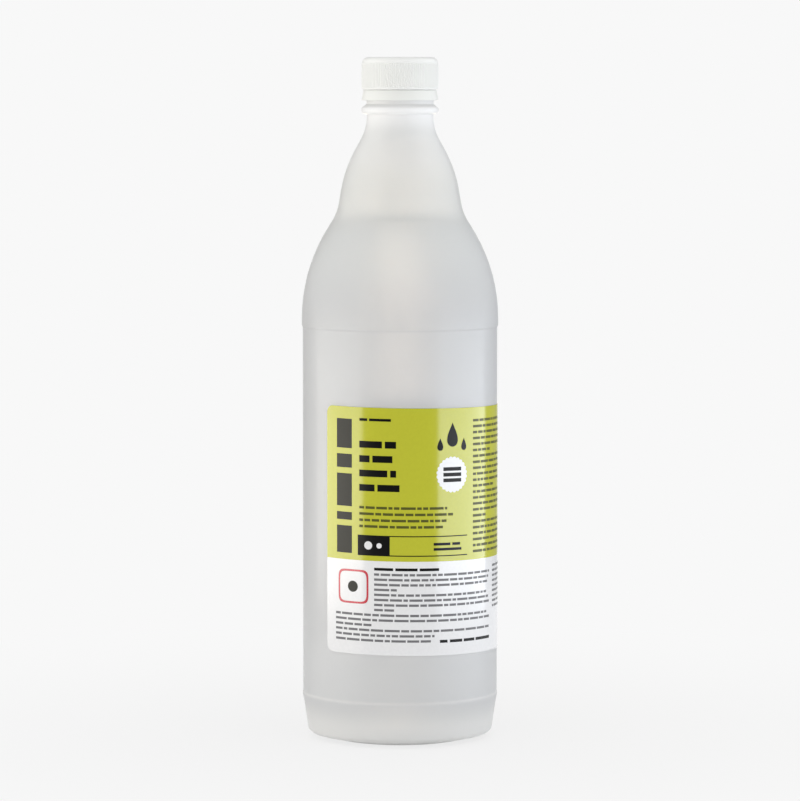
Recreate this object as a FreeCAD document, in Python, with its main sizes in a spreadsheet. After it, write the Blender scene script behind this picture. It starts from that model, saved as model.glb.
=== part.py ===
"""One-litre blow-moulded vinegar bottle: bottle, vinegar, screw closure and wrap-round label.

Millimetres, +Z up. The origin is the centre of the standing ring, and -Y is the label's front.
The bottle is a body of revolution. Its outline is a chain of corners, each with its own rounding,
and the hollow and the vinegar are the same chain set inwards by the wall and by the wall and a gap.
"""

import FreeCAD, Part
import math
import os
import re

import Sketcher

doc = FreeCAD.newDocument("vinegar_bottle")

# ---------------------------------------------------------------- driving dimensions
# alias, value, what it is. Lengths in millimetres, angles in degrees.
SIZES = [
    ("body_radius", 40.9, "widest part of the body, at the shoulder's lip"),
    ("panel_recess", 0.4, "how far the label panel is set back from the lip"),
    ("panel_low", 20.4, "height at which the label panel starts"),
    ("panel_length", 149.6, "straight label panel"),
    ("step_height", 1.0, "sloping step between the panel and the lip above it"),
    ("wall", 0.9, "blown wall"),
    ("least_round", 0.5, "smallest rounding that the blown wall takes inside a corner"),
    ("foot_radius", 27.0, "middle of the standing ring"),
    ("ring_width", 2.0, "flat of the standing ring"),
    ("push_up", 4.5, "rise of the base's middle"),
    ("dome_radius", 14.0, "flat middle of the push-up, before its rounding"),
    ("dome_round", 16.0, "rounding between that and the slope down to the ring"),
    ("chime_tilt", 13.5, "slope of the base outside the standing ring"),
    ("chime_round", 2.6, "corner between the base and the heel"),
    ("heel_taper", 9.0, "lean of the heel's side"),
    ("heel_height", 15.8, "top of the heel's taper"),
    ("heel_inset", 0.2, "how far the heel's top is inside the panel's radius"),
    ("bead_out", 0.16, "heel bead, proud of the panel"),
    ("bead_height", 3.2, "heel bead, straight part"),
    ("bead_slope", 0.6, "height of each sloping side of the heel bead"),
    ("lip_straight", 3.4, "upright lip between the step and the shoulder's curve"),
    ("shoulder_lean", 32.8, "lean of the shoulder where it is straight"),
    ("shoulder_line", 1.8, "straight stretch between shoulder and waist"),
    ("waist_round", 21.7, "hollow curve of the waist"),
    ("waist_lean", 9.4, "lean of the wall between waist and bulge"),
    ("waist_line", 5.0, "straight stretch between waist and bulge"),
    ("bulge_round", 52.2, "outward curve below the neck"),
    ("flare_lean", 28.8, "lean of the wall where it meets the neck's flare"),
    ("flare_line", 5.6, "straight stretch between bulge and flare"),
    ("flare_round", 18.8, "hollow curve of the flare"),
    ("bore_round", 9.4, "rounding inside, between the flare and the neck's bore"),
    ("neck_radius", 13.8, "neck below the transfer bead"),
    ("neck_line", 0.8, "straight neck below the transfer bead"),
    ("neck_wall", 2.4, "wall of the neck, round its bore"),
    ("transfer_out", 2.2, "transfer bead, proud of the neck"),
    ("transfer_slope", 20.0, "slope of the transfer bead's underside"),
    ("transfer_height", 4.3, "transfer bead, from underside to top"),
    ("transfer_tip", 1.95, "upright edge of the transfer bead"),
    ("transfer_round", 1.45, "rounding of the transfer bead's edge"),
    ("collar_out", 0.1, "collar between the transfer bead and the closure, proud of the neck"),
    ("collar_height", 2.0, "collar, up to the finish"),
    ("finish_in", 0.5, "how far the neck finish in the closure is inside the neck"),
    ("finish_height", 15.95, "neck finish, from the collar to the rim"),
    ("rim_round", 0.6, "rounding of the rim's edges"),
    ("thread_room", 1.1, "room for the thread between the finish and the closure"),
    ("cap_top", 1.4, "closure's top plate"),
    ("cap_wall", 1.2, "closure's skirt"),
    ("cap_skirt", 12.0, "skirt, from the rim's level down to the slit"),
    ("cap_round", 2.2, "rounded edge of the closure's top"),
    ("rib_out", 0.3, "closure rib, proud of the skirt"),
    ("rib_width", 0.5, "closure rib at its root"),
    ("rib_tip", 0.22, "closure rib at its tip"),
    ("rib_rise", 0.2, "top of the ribs below the start of the rounded edge"),
    ("rib_stop", 0.7, "plain skirt between the ribs and the slit"),
    ("rib_root", 0.15, "how deep a rib is rooted in the skirt"),
    ("rib_count", 120, "closure ribs"),
    ("slit_height", 0.15, "slit between the skirt and the tamper band"),
    ("bridge_count", 12, "bridges across the slit"),
    ("bridge_width", 0.9, "one bridge, along the slit"),
    ("bridge_depth", 0.5, "one bridge, through the wall"),
    ("band_height", 4.25, "tamper band"),
    ("band_wall", 0.75, "wall of the tamper band"),
    ("band_room", 0.45, "clearance between the band and the collar"),
    ("band_flare", 0.85, "how far the band widens down to its open edge"),
    ("band_round", 0.3, "rounding of the band's open edge"),
    ("fill_level", 215.0, "height of the vinegar's surface"),
    ("fill_gap", 0.1, "clearance between vinegar and wall"),
    ("label_gap", 0.05, "adhesive between the panel and the label"),
    ("label_film", 0.15, "thickness of the label"),
    ("label_low", 38.75, "height of the label's lower edge at the front"),
    ("label_tall", 101.4, "height of the label"),
    ("label_start", -47.2, "angle of the label's first end, from the front towards +X"),
    ("label_wrap", 276.0, "how far the label goes round"),
    ("label_fall", 0.62, "how far the label's edges fall in one radian of turn"),
    ("label_corner", 3.2, "rounding of the label's corners"),
    ("pinch_length", 25.0, "pinch-off line across the base"),
    ("pinch_width", 0.8, "width of the pinch-off line"),
    ("pinch_out", 0.4, "how far the pinch-off line stands out of the base"),
    ("overrun", 0.5, "how far a cutting outline runs past what it cuts"),
]

# Places worked out from the driving dimensions, corner by corner up the outline.
DERIVED = [
    ("panel_radius", "=body_radius - panel_recess"),
    ("ring_inner", "=foot_radius - ring_width / 2"),
    ("ring_outer", "=foot_radius + ring_width / 2"),
    ("heel_top_x", "=panel_radius - heel_inset"),
    ("chime_x", "=(heel_top_x - (heel_height + ring_outer * tan(chime_tilt)) * tan(heel_taper))"
                " / (1 - tan(chime_tilt) * tan(heel_taper))"),
    ("chime_z", "=(chime_x - ring_outer) * tan(chime_tilt)"),
    ("bead_x", "=panel_radius + bead_out"),
    ("bead_low", "=heel_height + bead_slope"),
    ("bead_high", "=bead_low + bead_height"),
    ("panel_top", "=panel_low + panel_length"),
    ("lip_low", "=panel_top + step_height"),
    ("shoulder_low", "=lip_low + lip_straight"),
    # tangent lengths of the four curves between the shoulder and the neck
    ("flare_reach", "=flare_round * tan(flare_lean / 2)"),
    ("bulge_reach", "=bulge_round * tan((flare_lean - waist_lean) / 2)"),
    ("waist_reach", "=waist_round * tan((shoulder_lean - waist_lean) / 2)"),
    ("flare_span", "=flare_reach + flare_line + bulge_reach"),
    ("waist_span", "=bulge_reach + waist_line + waist_reach"),
    ("bulge_x", "=neck_radius + flare_span * sin(flare_lean)"),
    ("waist_x", "=bulge_x + waist_span * sin(waist_lean)"),
    ("shoulder_span", "=(body_radius - waist_x) / sin(shoulder_lean)"),
    ("shoulder_reach", "=shoulder_span - waist_reach - shoulder_line"),
    ("shoulder_round", "=shoulder_reach / tan(shoulder_lean / 2)"),
    ("shoulder_z", "=shoulder_low + shoulder_reach"),
    ("waist_z", "=shoulder_z + shoulder_span * cos(shoulder_lean)"),
    ("bulge_z", "=waist_z + waist_span * cos(waist_lean)"),
    ("neck_z", "=bulge_z + flare_span * cos(flare_lean)"),
    ("neck_bore", "=neck_radius - neck_wall"),
    ("transfer_radius", "=neck_radius + transfer_out"),
    ("collar_radius", "=neck_radius + collar_out"),
    ("finish_radius", "=neck_radius - finish_in"),
    ("transfer_low", "=neck_z + flare_reach + neck_line"),
    ("transfer_edge", "=transfer_low + transfer_out * tan(transfer_slope)"),
    ("transfer_top", "=transfer_low + transfer_height"),
    ("collar_top", "=transfer_top + collar_height"),
    ("rim_z", "=collar_top + finish_height"),
    ("cap_top_z", "=rim_z + cap_top"),
    ("slit_top", "=rim_z - cap_skirt"),
    ("slit_low", "=slit_top - slit_height"),
    ("band_low", "=slit_low - band_height"),
    ("skirt_bore", "=finish_radius + thread_room"),
    ("cap_radius", "=skirt_bore + cap_wall"),
    ("band_top_radius", "=collar_radius + band_room + band_wall"),
    ("band_foot_radius", "=band_top_radius + band_flare"),
    ("bridge_inner", "=band_top_radius - (band_wall + bridge_depth) / 2"),
    ("bridge_outer", "=bridge_inner + bridge_depth"),
    ("window_turn", "=360 / bridge_count - 2 * asin(bridge_width / (2 * band_top_radius)) / 1 deg"),
    ("rib_high", "=cap_top_z - cap_round - rib_rise"),
    ("rib_low", "=slit_top + rib_stop"),
    ("label_radius", "=panel_radius + label_gap"),
]

sheet = doc.addObject("Spreadsheet::Sheet", "sizes")
rows = [(alias, str(value)) for alias, value, _ in SIZES] + DERIVED
for row, (alias, text) in enumerate(rows, start=1):
    sheet.set(f"A{row}", alias)
    sheet.set(f"B{row}", text)
    sheet.setAlias(f"B{row}", alias)
for row, (_, _, meaning) in enumerate(SIZES, start=1):
    sheet.set(f"C{row}", meaning)
doc.recompute()

SIZE_NAMES = {alias for alias, _ in rows}


def bound(formula):
    """The formula with every size named through the sheet, as setExpression needs it."""
    def through_sheet(word):
        return f"sizes.{word.group()}" if word.group() in SIZE_NAMES else word.group()

    return re.sub(r"[a-z_]+", through_sheet, formula)


def worth(formula):
    """The formula's value now."""
    found = sheet.evalExpression(bound(formula))
    return float(getattr(found, "Value", found))


# ---------------------------------------------------------------- sketching
def origin_feature(body, role):
    """The body's own origin plane or axis of that role."""
    return next(f for f in body.Origin.OriginFeatures if f.Role == role)


def new_sketch(body, name, role="XZ_Plane"):
    """A sketch flat on one of the body's origin planes."""
    sketch = body.newObject("Sketcher::SketchObject", name)
    sketch.AttachmentSupport = (origin_feature(body, role), [""])
    sketch.MapMode = "FlatFace"
    return sketch


class Outline:
    """A closed sketch outline through corners, some of them rounded, tied to the sheet.

    A corner is (name, across, up, rounding), each of the last three a formula, and the rounding
    None where the corner stays sharp. A rounded corner keeps its point, which both lines pass
    through, and an arc tangent to both lines.
    """

    def __init__(self, sketch, corners):
        self.sketch = sketch
        self.constraints = []
        self.formulas = {}
        self.draw(corners)
        sketch.addConstraint(self.constraints)
        for index, (name, formula) in self.formulas.items():
            sketch.renameConstraint(index, name)
            sketch.setExpression(f"Constraints.{name}", bound(formula))

    def fix(self, kind, *places):
        """A constraint with no value."""
        self.constraints.append(Sketcher.Constraint(kind, *places))

    def size(self, name, formula, kind, *places):
        """A constraint whose value is a formula of the sheet."""
        self.formulas[len(self.constraints)] = (name, formula)
        self.constraints.append(Sketcher.Constraint(kind, *places, worth(formula)))

    def pin(self, name, geometry, point, across, up):
        """Ties a point to two formulas; a formula of 0 puts it on the axis."""
        ways = ((-2, "DistanceX", "x", across), (-1, "DistanceY", "z", up))
        for axis, kind, word, formula in ways:
            if formula == "0":
                self.fix("PointOnObject", geometry, point, axis)
            else:
                self.size(f"{name}_{word}", formula, kind, geometry, point)

    def draw(self, corners):
        """Adds the lines, the arcs between them and what holds both."""
        count = len(corners)
        places = [FreeCAD.Vector(worth(across), worth(up), 0) for _, across, up, _ in corners]
        enters, leaves, arcs = list(places), list(places), {}
        for index, (_, _, _, rounding) in enumerate(corners):
            if rounding is None:
                continue
            here = places[index]
            before = (places[index - 1] - here).normalize()
            after = (places[(index + 1) % count] - here).normalize()
            radius = worth(rounding)
            half = before.getAngle(after) / 2
            enters[index] = here + before * (radius / math.tan(half))
            leaves[index] = here + after * (radius / math.tan(half))
            centre = here + (before + after).normalize() * (radius / math.sin(half))
            arcs[index] = (centre, radius, before.cross(after).z < 0)
        for index in range(count):
            line = Part.LineSegment(leaves[index], enters[(index + 1) % count])
            self.sketch.addGeometry(line, False)
        for index, (name, across, up, rounding) in enumerate(corners):
            coming, going = (index - 1) % count, index
            if rounding is None:
                self.fix("Coincident", coming, 2, going, 1)
                self.pin(name, going, 1, across, up)
                continue
            centre, radius, leftward = arcs[index]
            ends = [enters[index] - centre, leaves[index] - centre]
            if not leftward:
                ends.reverse()
            first, last = (math.atan2(end.y, end.x) for end in ends)
            circle = Part.Circle(centre, FreeCAD.Vector(0, 0, 1), radius)
            arc = self.sketch.addGeometry(Part.ArcOfCircle(circle, first, last), False)
            mark = self.sketch.addGeometry(Part.Point(places[index]), True)
            self.pin(name, mark, 1, across, up)
            self.fix("PointOnObject", mark, 1, coming)
            self.fix("PointOnObject", mark, 1, going)
            self.fix("Tangent", coming, 2, arc, 1 if leftward else 2)
            self.fix("Tangent", arc, 2 if leftward else 1, going, 1)
            self.size(f"{name}_round", rounding, "Radius", arc)


def turned(body, name, corners, kind="PartDesign::Revolution"):
    """Turns a rounded outline a full turn about the body's upright axis, or cuts it as a groove."""
    sketch = new_sketch(body, f"{name}_outline")
    Outline(sketch, corners)
    feature = body.newObject(kind, name)
    feature.Profile = sketch
    feature.ReferenceAxis = (sketch, ["V_Axis"])
    feature.Angle = 360
    return feature


def new_body(name):
    """A PartDesign body whose label is its node's name."""
    body = doc.addObject("PartDesign::Body", name)
    body.Label = name
    return body


# ---------------------------------------------------------------- the hollow, by insetting
def inset_corner(x, z, lower_tilt, upper_tilt, inset):
    """Formulas of a corner moved inwards by inset.

    A wall's tilt is the angle of its outward normal above the horizontal. Moving both walls in
    by the same distance moves their corner by distance * (n1 + n2) / (1 + n1 . n2).
    """
    share = f"({inset}) / (1 + cos({lower_tilt} - ({upper_tilt})))"
    across = f"{x} - {share} * (cos({lower_tilt}) + cos({upper_tilt}))"
    up = f"{z} - {share} * (sin({lower_tilt}) + sin({upper_tilt}))"
    return across, up


def hollow_corners(inset):
    """Corners of the bottle's inside, moved in by the formula inset, from the base to the bore."""
    chime_x, chime_z = inset_corner("chime_x", "chime_z", "chime_tilt - 90", "-heel_taper", inset)
    side = f"panel_radius - ({inset})"
    heel_z = f"{chime_z} + ({side} - ({chime_x})) / tan(heel_taper)"
    waist_x, waist_z = inset_corner("waist_x", "waist_z", "shoulder_lean", "waist_lean", inset)
    shoulder_z = f"{waist_z} - ({side} - ({waist_x})) / tan(shoulder_lean)"
    bulge_x, bulge_z = inset_corner("bulge_x", "bulge_z", "waist_lean", "flare_lean", inset)
    bore = f"neck_bore - ({inset} - wall)"
    neck_z = f"{bulge_z} + ({bulge_x} - ({bore})) / tan(flare_lean)"
    return [
        ("middle", "0", f"push_up + {inset}", None),
        ("dome", "dome_radius", f"push_up + {inset}", "dome_round"),
        ("ring_in", "ring_inner", inset, None),
        ("ring_out", "ring_outer", inset, None),
        ("chime", chime_x, chime_z, f"max(chime_round - ({inset}); least_round)"),
        ("heel", side, heel_z, "chime_round"),
        ("shoulder", side, shoulder_z, f"shoulder_round - ({inset})"),
        ("waist", waist_x, waist_z, f"waist_round + {inset}"),
        ("bulge", bulge_x, bulge_z, f"bulge_round - ({inset})"),
        ("neck", bore, neck_z, "bore_round"),
        ("lip", bore, "rim_z", None),
        ("mouth", "0", "rim_z", None),
    ]


def rectangle(inner, outer, low, high):
    """Corners of an upright rectangle between two radii and two heights."""
    return [
        ("low_in", inner, low, None),
        ("low_out", outer, low, None),
        ("high_out", outer, high, None),
        ("high_in", inner, high, None),
    ]


def repeated(body, name, feature, count):
    """The feature repeated evenly about the body's upright axis."""
    pattern = body.newObject("PartDesign::PolarPattern", name)
    pattern.Originals = [feature]
    pattern.Axis = (origin_feature(body, "Z_Axis"), [""])
    pattern.Angle = 360
    pattern.setExpression("Occurrences", bound(count))
    body.Tip = pattern
    return pattern


# ---------------------------------------------------------------- bottle
def make_bottle():
    """The blown bottle: a turned outside, a turned hollow and the pinch-off line of its mould."""
    body = new_body("bottle")
    turned(body, "outside", [
        ("middle", "0", "push_up", None),
        ("dome", "dome_radius", "push_up", "dome_round"),
        ("ring_in", "ring_inner", "0", None),
        ("ring_out", "ring_outer", "0", None),
        ("chime", "chime_x", "chime_z", "chime_round"),
        ("heel", "heel_top_x", "heel_height", None),
        ("bead_foot", "bead_x", "bead_low", None),
        ("bead_head", "bead_x", "bead_high", None),
        ("panel_foot", "panel_radius", "panel_low", None),
        ("panel_head", "panel_radius", "panel_top", None),
        ("lip", "body_radius", "lip_low", None),
        ("shoulder", "body_radius", "shoulder_z", "shoulder_round"),
        ("waist", "waist_x", "waist_z", "waist_round"),
        ("bulge", "bulge_x", "bulge_z", "bulge_round"),
        ("neck", "neck_radius", "neck_z", "flare_round"),
        ("under", "neck_radius", "transfer_low", None),
        ("edge_low", "transfer_radius", "transfer_edge", "transfer_round"),
        ("edge_high", "transfer_radius", "transfer_edge + transfer_tip", "transfer_round"),
        ("over", "collar_radius", "transfer_top", None),
        ("collar", "collar_radius", "collar_top", None),
        ("finish", "finish_radius", "collar_top", None),
        ("rim", "finish_radius", "rim_z", "rim_round"),
        ("mouth", "0", "rim_z", None),
    ])
    turned(body, "hollow", hollow_corners("wall"), "PartDesign::Groove")
    half = "pinch_length / 2"
    line = new_sketch(body, "pinch_outline")
    Outline(line, rectangle(f"-{half}", half, "push_up - pinch_out", "push_up + wall / 2"))
    pinch = body.newObject("PartDesign::Pad", "pinch_off")
    pinch.Profile = line
    pinch.Midplane = True
    pinch.setExpression("Length", bound("pinch_width"))
    return body


# ---------------------------------------------------------------- vinegar
def make_vinegar():
    """The vinegar: the hollow set in by the fill gap, cut level at the fill."""
    body = new_body("vinegar")
    turned(body, "filling", hollow_corners("wall + fill_gap"))
    above = rectangle("0", "body_radius", "fill_level", "rim_z + overrun")
    turned(body, "headspace", above, "PartDesign::Groove")
    return body


# ---------------------------------------------------------------- closure
def make_cap():
    """The closure, one moulding: ribbed skirt, slit with bridges and flared tamper band.

    It is turned with a thin web where the slit is. Windows cut through the web leave the bridges.
    """
    body = new_body("cap")
    turned(body, "closure", [
        ("seat", "0", "rim_z", None),
        ("bore_top", "skirt_bore", "rim_z", None),
        ("bore_foot", "skirt_bore", "slit_top", None),
        ("web_in_top", "bridge_inner", "slit_top", None),
        ("web_in_foot", "bridge_inner", "slit_low", None),
        ("band_in_top", "band_top_radius - band_wall", "slit_low", None),
        ("band_in_foot", "band_foot_radius - band_wall", "band_low", None),
        ("band_foot", "band_foot_radius", "band_low", "band_round"),
        ("band_top", "band_top_radius", "slit_low", None),
        ("web_out_foot", "bridge_outer", "slit_low", None),
        ("web_out_top", "bridge_outer", "slit_top", None),
        ("skirt_foot", "cap_radius", "slit_top", None),
        ("edge", "cap_radius", "cap_top_z", "cap_round"),
        ("crown", "0", "cap_top_z", None),
    ])
    opening = rectangle("bridge_inner - overrun", "bridge_outer + overrun", "slit_low", "slit_top")
    window = turned(body, "window", opening, "PartDesign::Groove")
    window.Midplane = True
    window.setExpression("Angle", bound("window_turn"))
    repeated(body, "slit", window, "bridge_count")
    make_rib(body)
    return body


def make_rib(body):
    """One tapered rib on the closure's skirt, repeated all round."""
    plan = new_sketch(body, "rib_plan", "XY_Plane")
    root, tip = "cap_radius - rib_root", "cap_radius + rib_out"
    Outline(plan, [
        ("root_right", root, "-rib_width / 2", None),
        ("tip_right", tip, "-rib_tip / 2", None),
        ("tip_left", tip, "rib_tip / 2", None),
        ("root_left", root, "rib_width / 2", None),
    ])
    plan.setExpression("AttachmentOffset.Base.z", bound("rib_low"))
    rib = body.newObject("PartDesign::Pad", "rib")
    rib.Profile = plan
    rib.setExpression("Length", bound("rib_high - rib_low"))
    repeated(body, "ribs", rib, "rib_count")


# ---------------------------------------------------------------- label
CORNER_STEPS = 8  # spans of the curve that rounds a corner of the label


def label_face(radius):
    """The label's face on a cylinder: a rounded rectangle, unrolled, whose long edges fall."""
    tall, corner = worth("label_tall"), worth("label_corner")
    wrap, fall = math.radians(worth("label_wrap")), worth("label_fall")
    corner_turn = corner / radius
    roll = Part.Cylinder()
    roll.Radius = radius

    def spot(turn, height):
        return FreeCAD.Base.Vector2d(turn, height - fall * turn)

    def straight(start, end):
        return Part.Geom2d.Line2dSegment(spot(*start), spot(*end))

    def quarter(turn, height, first):
        steps = [first + math.pi / 2 * step / CORNER_STEPS for step in range(CORNER_STEPS + 1)]
        curve = Part.Geom2d.BSplineCurve2d()
        curve.interpolate([
            spot(turn + corner_turn * math.cos(step), height + corner * math.sin(step))
            for step in steps
        ])
        return curve

    near, far = corner_turn, wrap - corner_turn
    low, high = corner, tall - corner
    outline = [
        straight((near, 0), (far, 0)),
        quarter(far, low, -math.pi / 2),
        straight((wrap, low), (wrap, high)),
        quarter(far, high, 0),
        straight((far, tall), (near, tall)),
        quarter(near, high, math.pi / 2),
        straight((0, high), (0, low)),
        quarter(near, low, math.pi),
    ]
    face = Part.Face(roll, Part.Wire([curve.toShape(roll) for curve in outline]))
    face.validate()
    return face


def make_label():
    """The label: film wrapped round the panel, its edges falling a little as it goes round.

    The turn is counted from the front, so the first end is set by turning the finished piece.
    """
    label = doc.addObject("Part::Feature", "label")
    label.Label = "label"
    start = worth("label_start")
    film = label_face(worth("label_radius"))
    label.Shape = film.makeOffsetShape(worth("label_film"), 1e-4, fill=True)
    first_height = worth("label_low") - worth("label_fall") * math.radians(start)
    spin = FreeCAD.Rotation(FreeCAD.Vector(0, 0, 1), start - 90)
    label.Placement = FreeCAD.Placement(FreeCAD.Vector(0, 0, first_height), spin)
    return label


# ---------------------------------------------------------------- build, check and write
def check(parts):
    """Stops if anything failed, is empty or isn't one valid solid."""
    for thing in doc.Objects:
        if {"Invalid", "Error"} & set(thing.State):
            raise SystemExit(f"{thing.Name} failed: {thing.State}")
    for part in parts:
        shape = part.Shape
        if shape.isNull() or not shape.isValid() or len(shape.Solids) != 1:
            raise SystemExit(f"{part.Label} isn't one valid solid")


def check_cuts():
    """Stops if a groove took nothing away."""
    for thing in doc.Objects:
        if thing.TypeId == "PartDesign::Groove":
            before, after = thing.BaseFeature.Shape.Volume, thing.Shape.Volume
            if after >= before - 1e-6:
                raise SystemExit(f"{thing.Name} cut nothing")


made = [make_bottle(), make_vinegar(), make_cap(), make_label()]
doc.recompute()
check(made)
check_cuts()
os.makedirs("parts", exist_ok=True)
for part in made:
    part.Shape.exportStep(f"parts/{part.Label}.step")
    print(f"{part.Label}: {part.Shape.Volume / 1000:.2f} cm3, {len(part.Shape.Faces)} faces")
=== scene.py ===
"""A one-litre vinegar bottle: natural polyethylene, clear vinegar, white closure, printed label.

Sizes are in millimetres until a mesh is made, and meshes and the studio are in metres. +Z is up,
-Y is the front of the label, and an angle round the bottle is counted from the front towards +X.
"""

import logging
import math
from dataclasses import dataclass, field
from enum import Enum
from typing import Sequence

import bpy
import numpy as np
from bpy.types import Material, Node, NodeSocket, NodeTree, Object
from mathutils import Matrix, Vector


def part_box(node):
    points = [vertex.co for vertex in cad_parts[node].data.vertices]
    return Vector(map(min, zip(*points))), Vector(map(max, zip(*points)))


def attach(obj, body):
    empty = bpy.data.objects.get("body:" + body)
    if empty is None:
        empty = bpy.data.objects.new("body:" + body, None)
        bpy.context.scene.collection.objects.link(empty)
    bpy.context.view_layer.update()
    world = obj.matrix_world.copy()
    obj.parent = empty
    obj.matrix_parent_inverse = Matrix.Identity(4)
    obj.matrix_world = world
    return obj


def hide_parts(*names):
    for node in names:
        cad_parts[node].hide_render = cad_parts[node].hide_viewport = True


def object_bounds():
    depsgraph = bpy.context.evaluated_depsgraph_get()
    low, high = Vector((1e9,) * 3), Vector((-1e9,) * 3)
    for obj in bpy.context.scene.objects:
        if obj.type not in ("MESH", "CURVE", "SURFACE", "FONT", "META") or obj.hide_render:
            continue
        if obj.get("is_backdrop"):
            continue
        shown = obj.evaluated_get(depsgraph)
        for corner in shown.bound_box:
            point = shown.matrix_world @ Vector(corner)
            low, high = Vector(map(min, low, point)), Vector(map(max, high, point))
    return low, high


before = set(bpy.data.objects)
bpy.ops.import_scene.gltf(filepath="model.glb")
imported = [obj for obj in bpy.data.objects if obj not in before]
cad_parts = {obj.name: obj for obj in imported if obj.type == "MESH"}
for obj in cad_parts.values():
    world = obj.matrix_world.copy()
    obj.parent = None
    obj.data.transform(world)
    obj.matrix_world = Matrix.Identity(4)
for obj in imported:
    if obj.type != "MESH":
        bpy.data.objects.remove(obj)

MM = 0.001
BODY = "root"
SMOOTH_BELOW = math.radians(35)
NO_BEND = 1e-3  # radians: a corner that turns less than this stays a corner
NOISE_SPAN = (0.3, 0.7)  # where nearly all of a smooth noise's values lie
log = logging.getLogger("vinegar_bottle")


# ------------------------------------------------------------------ outlines
@dataclass(frozen=True)
class Corner:
    """A corner of an outline: distance from the axis, height and rounding."""

    across: float
    up: float
    rounding: float = 0.0

    @property
    def spot(self) -> np.ndarray:
        """The corner as a pair of numbers."""
        return np.array([self.across, self.up])


def arc_at(before: np.ndarray, corner: Corner, after: np.ndarray, turn: float) -> np.ndarray:
    """The points that stand for one corner of an outline.

    A rounded corner is an arc tangent to both sides. With half the corner's inner angle h and
    radius r, it starts r / tan(h) from the corner, and its centre is r / sin(h) along the bisector.

    Args:
        before: the corner before this one.
        corner: the corner, with its rounding.
        after: the corner after this one.
        turn: the most that the arc turns between two of its points, in radians.

    Returns:
        An array of points (n, 2), one alone for a sharp corner.
    """
    here = corner.spot
    back, onward = before - here, after - here
    back, onward = back / np.linalg.norm(back), onward / np.linalg.norm(onward)
    half = math.acos(float(np.clip(back @ onward, -1, 1))) / 2
    sweep = math.pi - 2 * half
    if corner.rounding <= 0 or sweep < NO_BEND:
        return here[None, :]
    bisector = (back + onward) / np.linalg.norm(back + onward)
    centre = here + bisector * corner.rounding / math.sin(half)
    first = here + back * corner.rounding / math.tan(half) - centre
    side = np.sign(back[0] * onward[1] - back[1] * onward[0])
    angles = -side * np.linspace(0, sweep, max(2, math.ceil(sweep / turn) + 1))
    cos, sin = np.cos(angles), np.sin(angles)
    return centre + np.stack(
        [first[0] * cos - first[1] * sin, first[0] * sin + first[1] * cos], axis=1
    )


def outline(
    corners: Sequence[Corner], loop: bool = False, turn: float = math.radians(4), run: float = 3.0
) -> np.ndarray:
    """A smooth outline through corners, its straight runs divided evenly.

    Args:
        corners: the corners in order.
        loop: True if the last corner leads back to the first.
        turn: the most that an arc turns between two points, in radians.
        run: the longest straight stretch between two points.

    Returns:
        An array of points (n, 2): distance from the axis and height.
    """
    count = len(corners)
    bends = []
    for index, corner in enumerate(corners):
        if not loop and index in (0, count - 1):
            bends.append(corner.spot[None, :])
            continue
        before, after = corners[index - 1].spot, corners[(index + 1) % count].spot
        bends.append(arc_at(before, corner, after, turn))
    points = []
    for index, bend in enumerate(bends):
        points.append(bend)
        if index == count - 1 and not loop:
            break
        start, end = bend[-1], bends[(index + 1) % count][0]
        pieces = max(1, math.ceil(np.linalg.norm(end - start) / run))
        share = np.arange(1, pieces)[:, None] / pieces
        points.append(start + (end - start) * share)
    return np.concatenate(points)


def moved_in(
    across: float, up: float, lower: float, upper: float, inset: float
) -> tuple[float, float]:
    """Moves the corner of two walls as both move inwards, each along its own normal.

    The corner moves by inset / (1 + cos(lower - upper)) times the sum of the two outward normals.

    Args:
        across: the corner's distance from the axis.
        up: its height.
        lower: how far the normal of the wall below it is tilted up, in radians.
        upper: the same for the wall above it.
        inset: how far the walls move.

    Returns:
        The corner's new distance from the axis and height.
    """
    share = inset / (1 + math.cos(lower - upper))
    return (
        across - share * (math.cos(lower) + math.cos(upper)),
        up - share * (math.sin(lower) + math.sin(upper)),
    )


def turned(shape: np.ndarray, angles: np.ndarray, inward: np.ndarray | None = None) -> np.ndarray:
    """An outline turned about +Z: x = r sin(angle), y = -r cos(angle), z = height.

    Args:
        shape: the outline (rows, 2).
        angles: the angles round the bottle (columns,), in radians.
        inward: how far each point is drawn towards the axis, (rows, columns), or None.

    Returns:
        Points (rows, columns, 3).
    """
    radius = np.repeat(shape[:, :1], len(angles), axis=1)
    if inward is not None:
        radius = np.maximum(radius - inward, 0)
    height = np.repeat(shape[:, 1:], len(angles), axis=1)
    return np.stack([radius * np.sin(angles), -radius * np.cos(angles), height], axis=2)


def even_turn(columns: int) -> np.ndarray:
    """Angles evenly round the bottle, the last one short of a full turn."""
    return np.arange(columns) / columns * 2 * math.pi


def circle(columns: int) -> np.ndarray:
    """Points evenly round a circle of radius 1, counter-clockwise: (cos t, sin t)."""
    return np.stack([np.cos(even_turn(columns)), np.sin(even_turn(columns))], axis=1)


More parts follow.
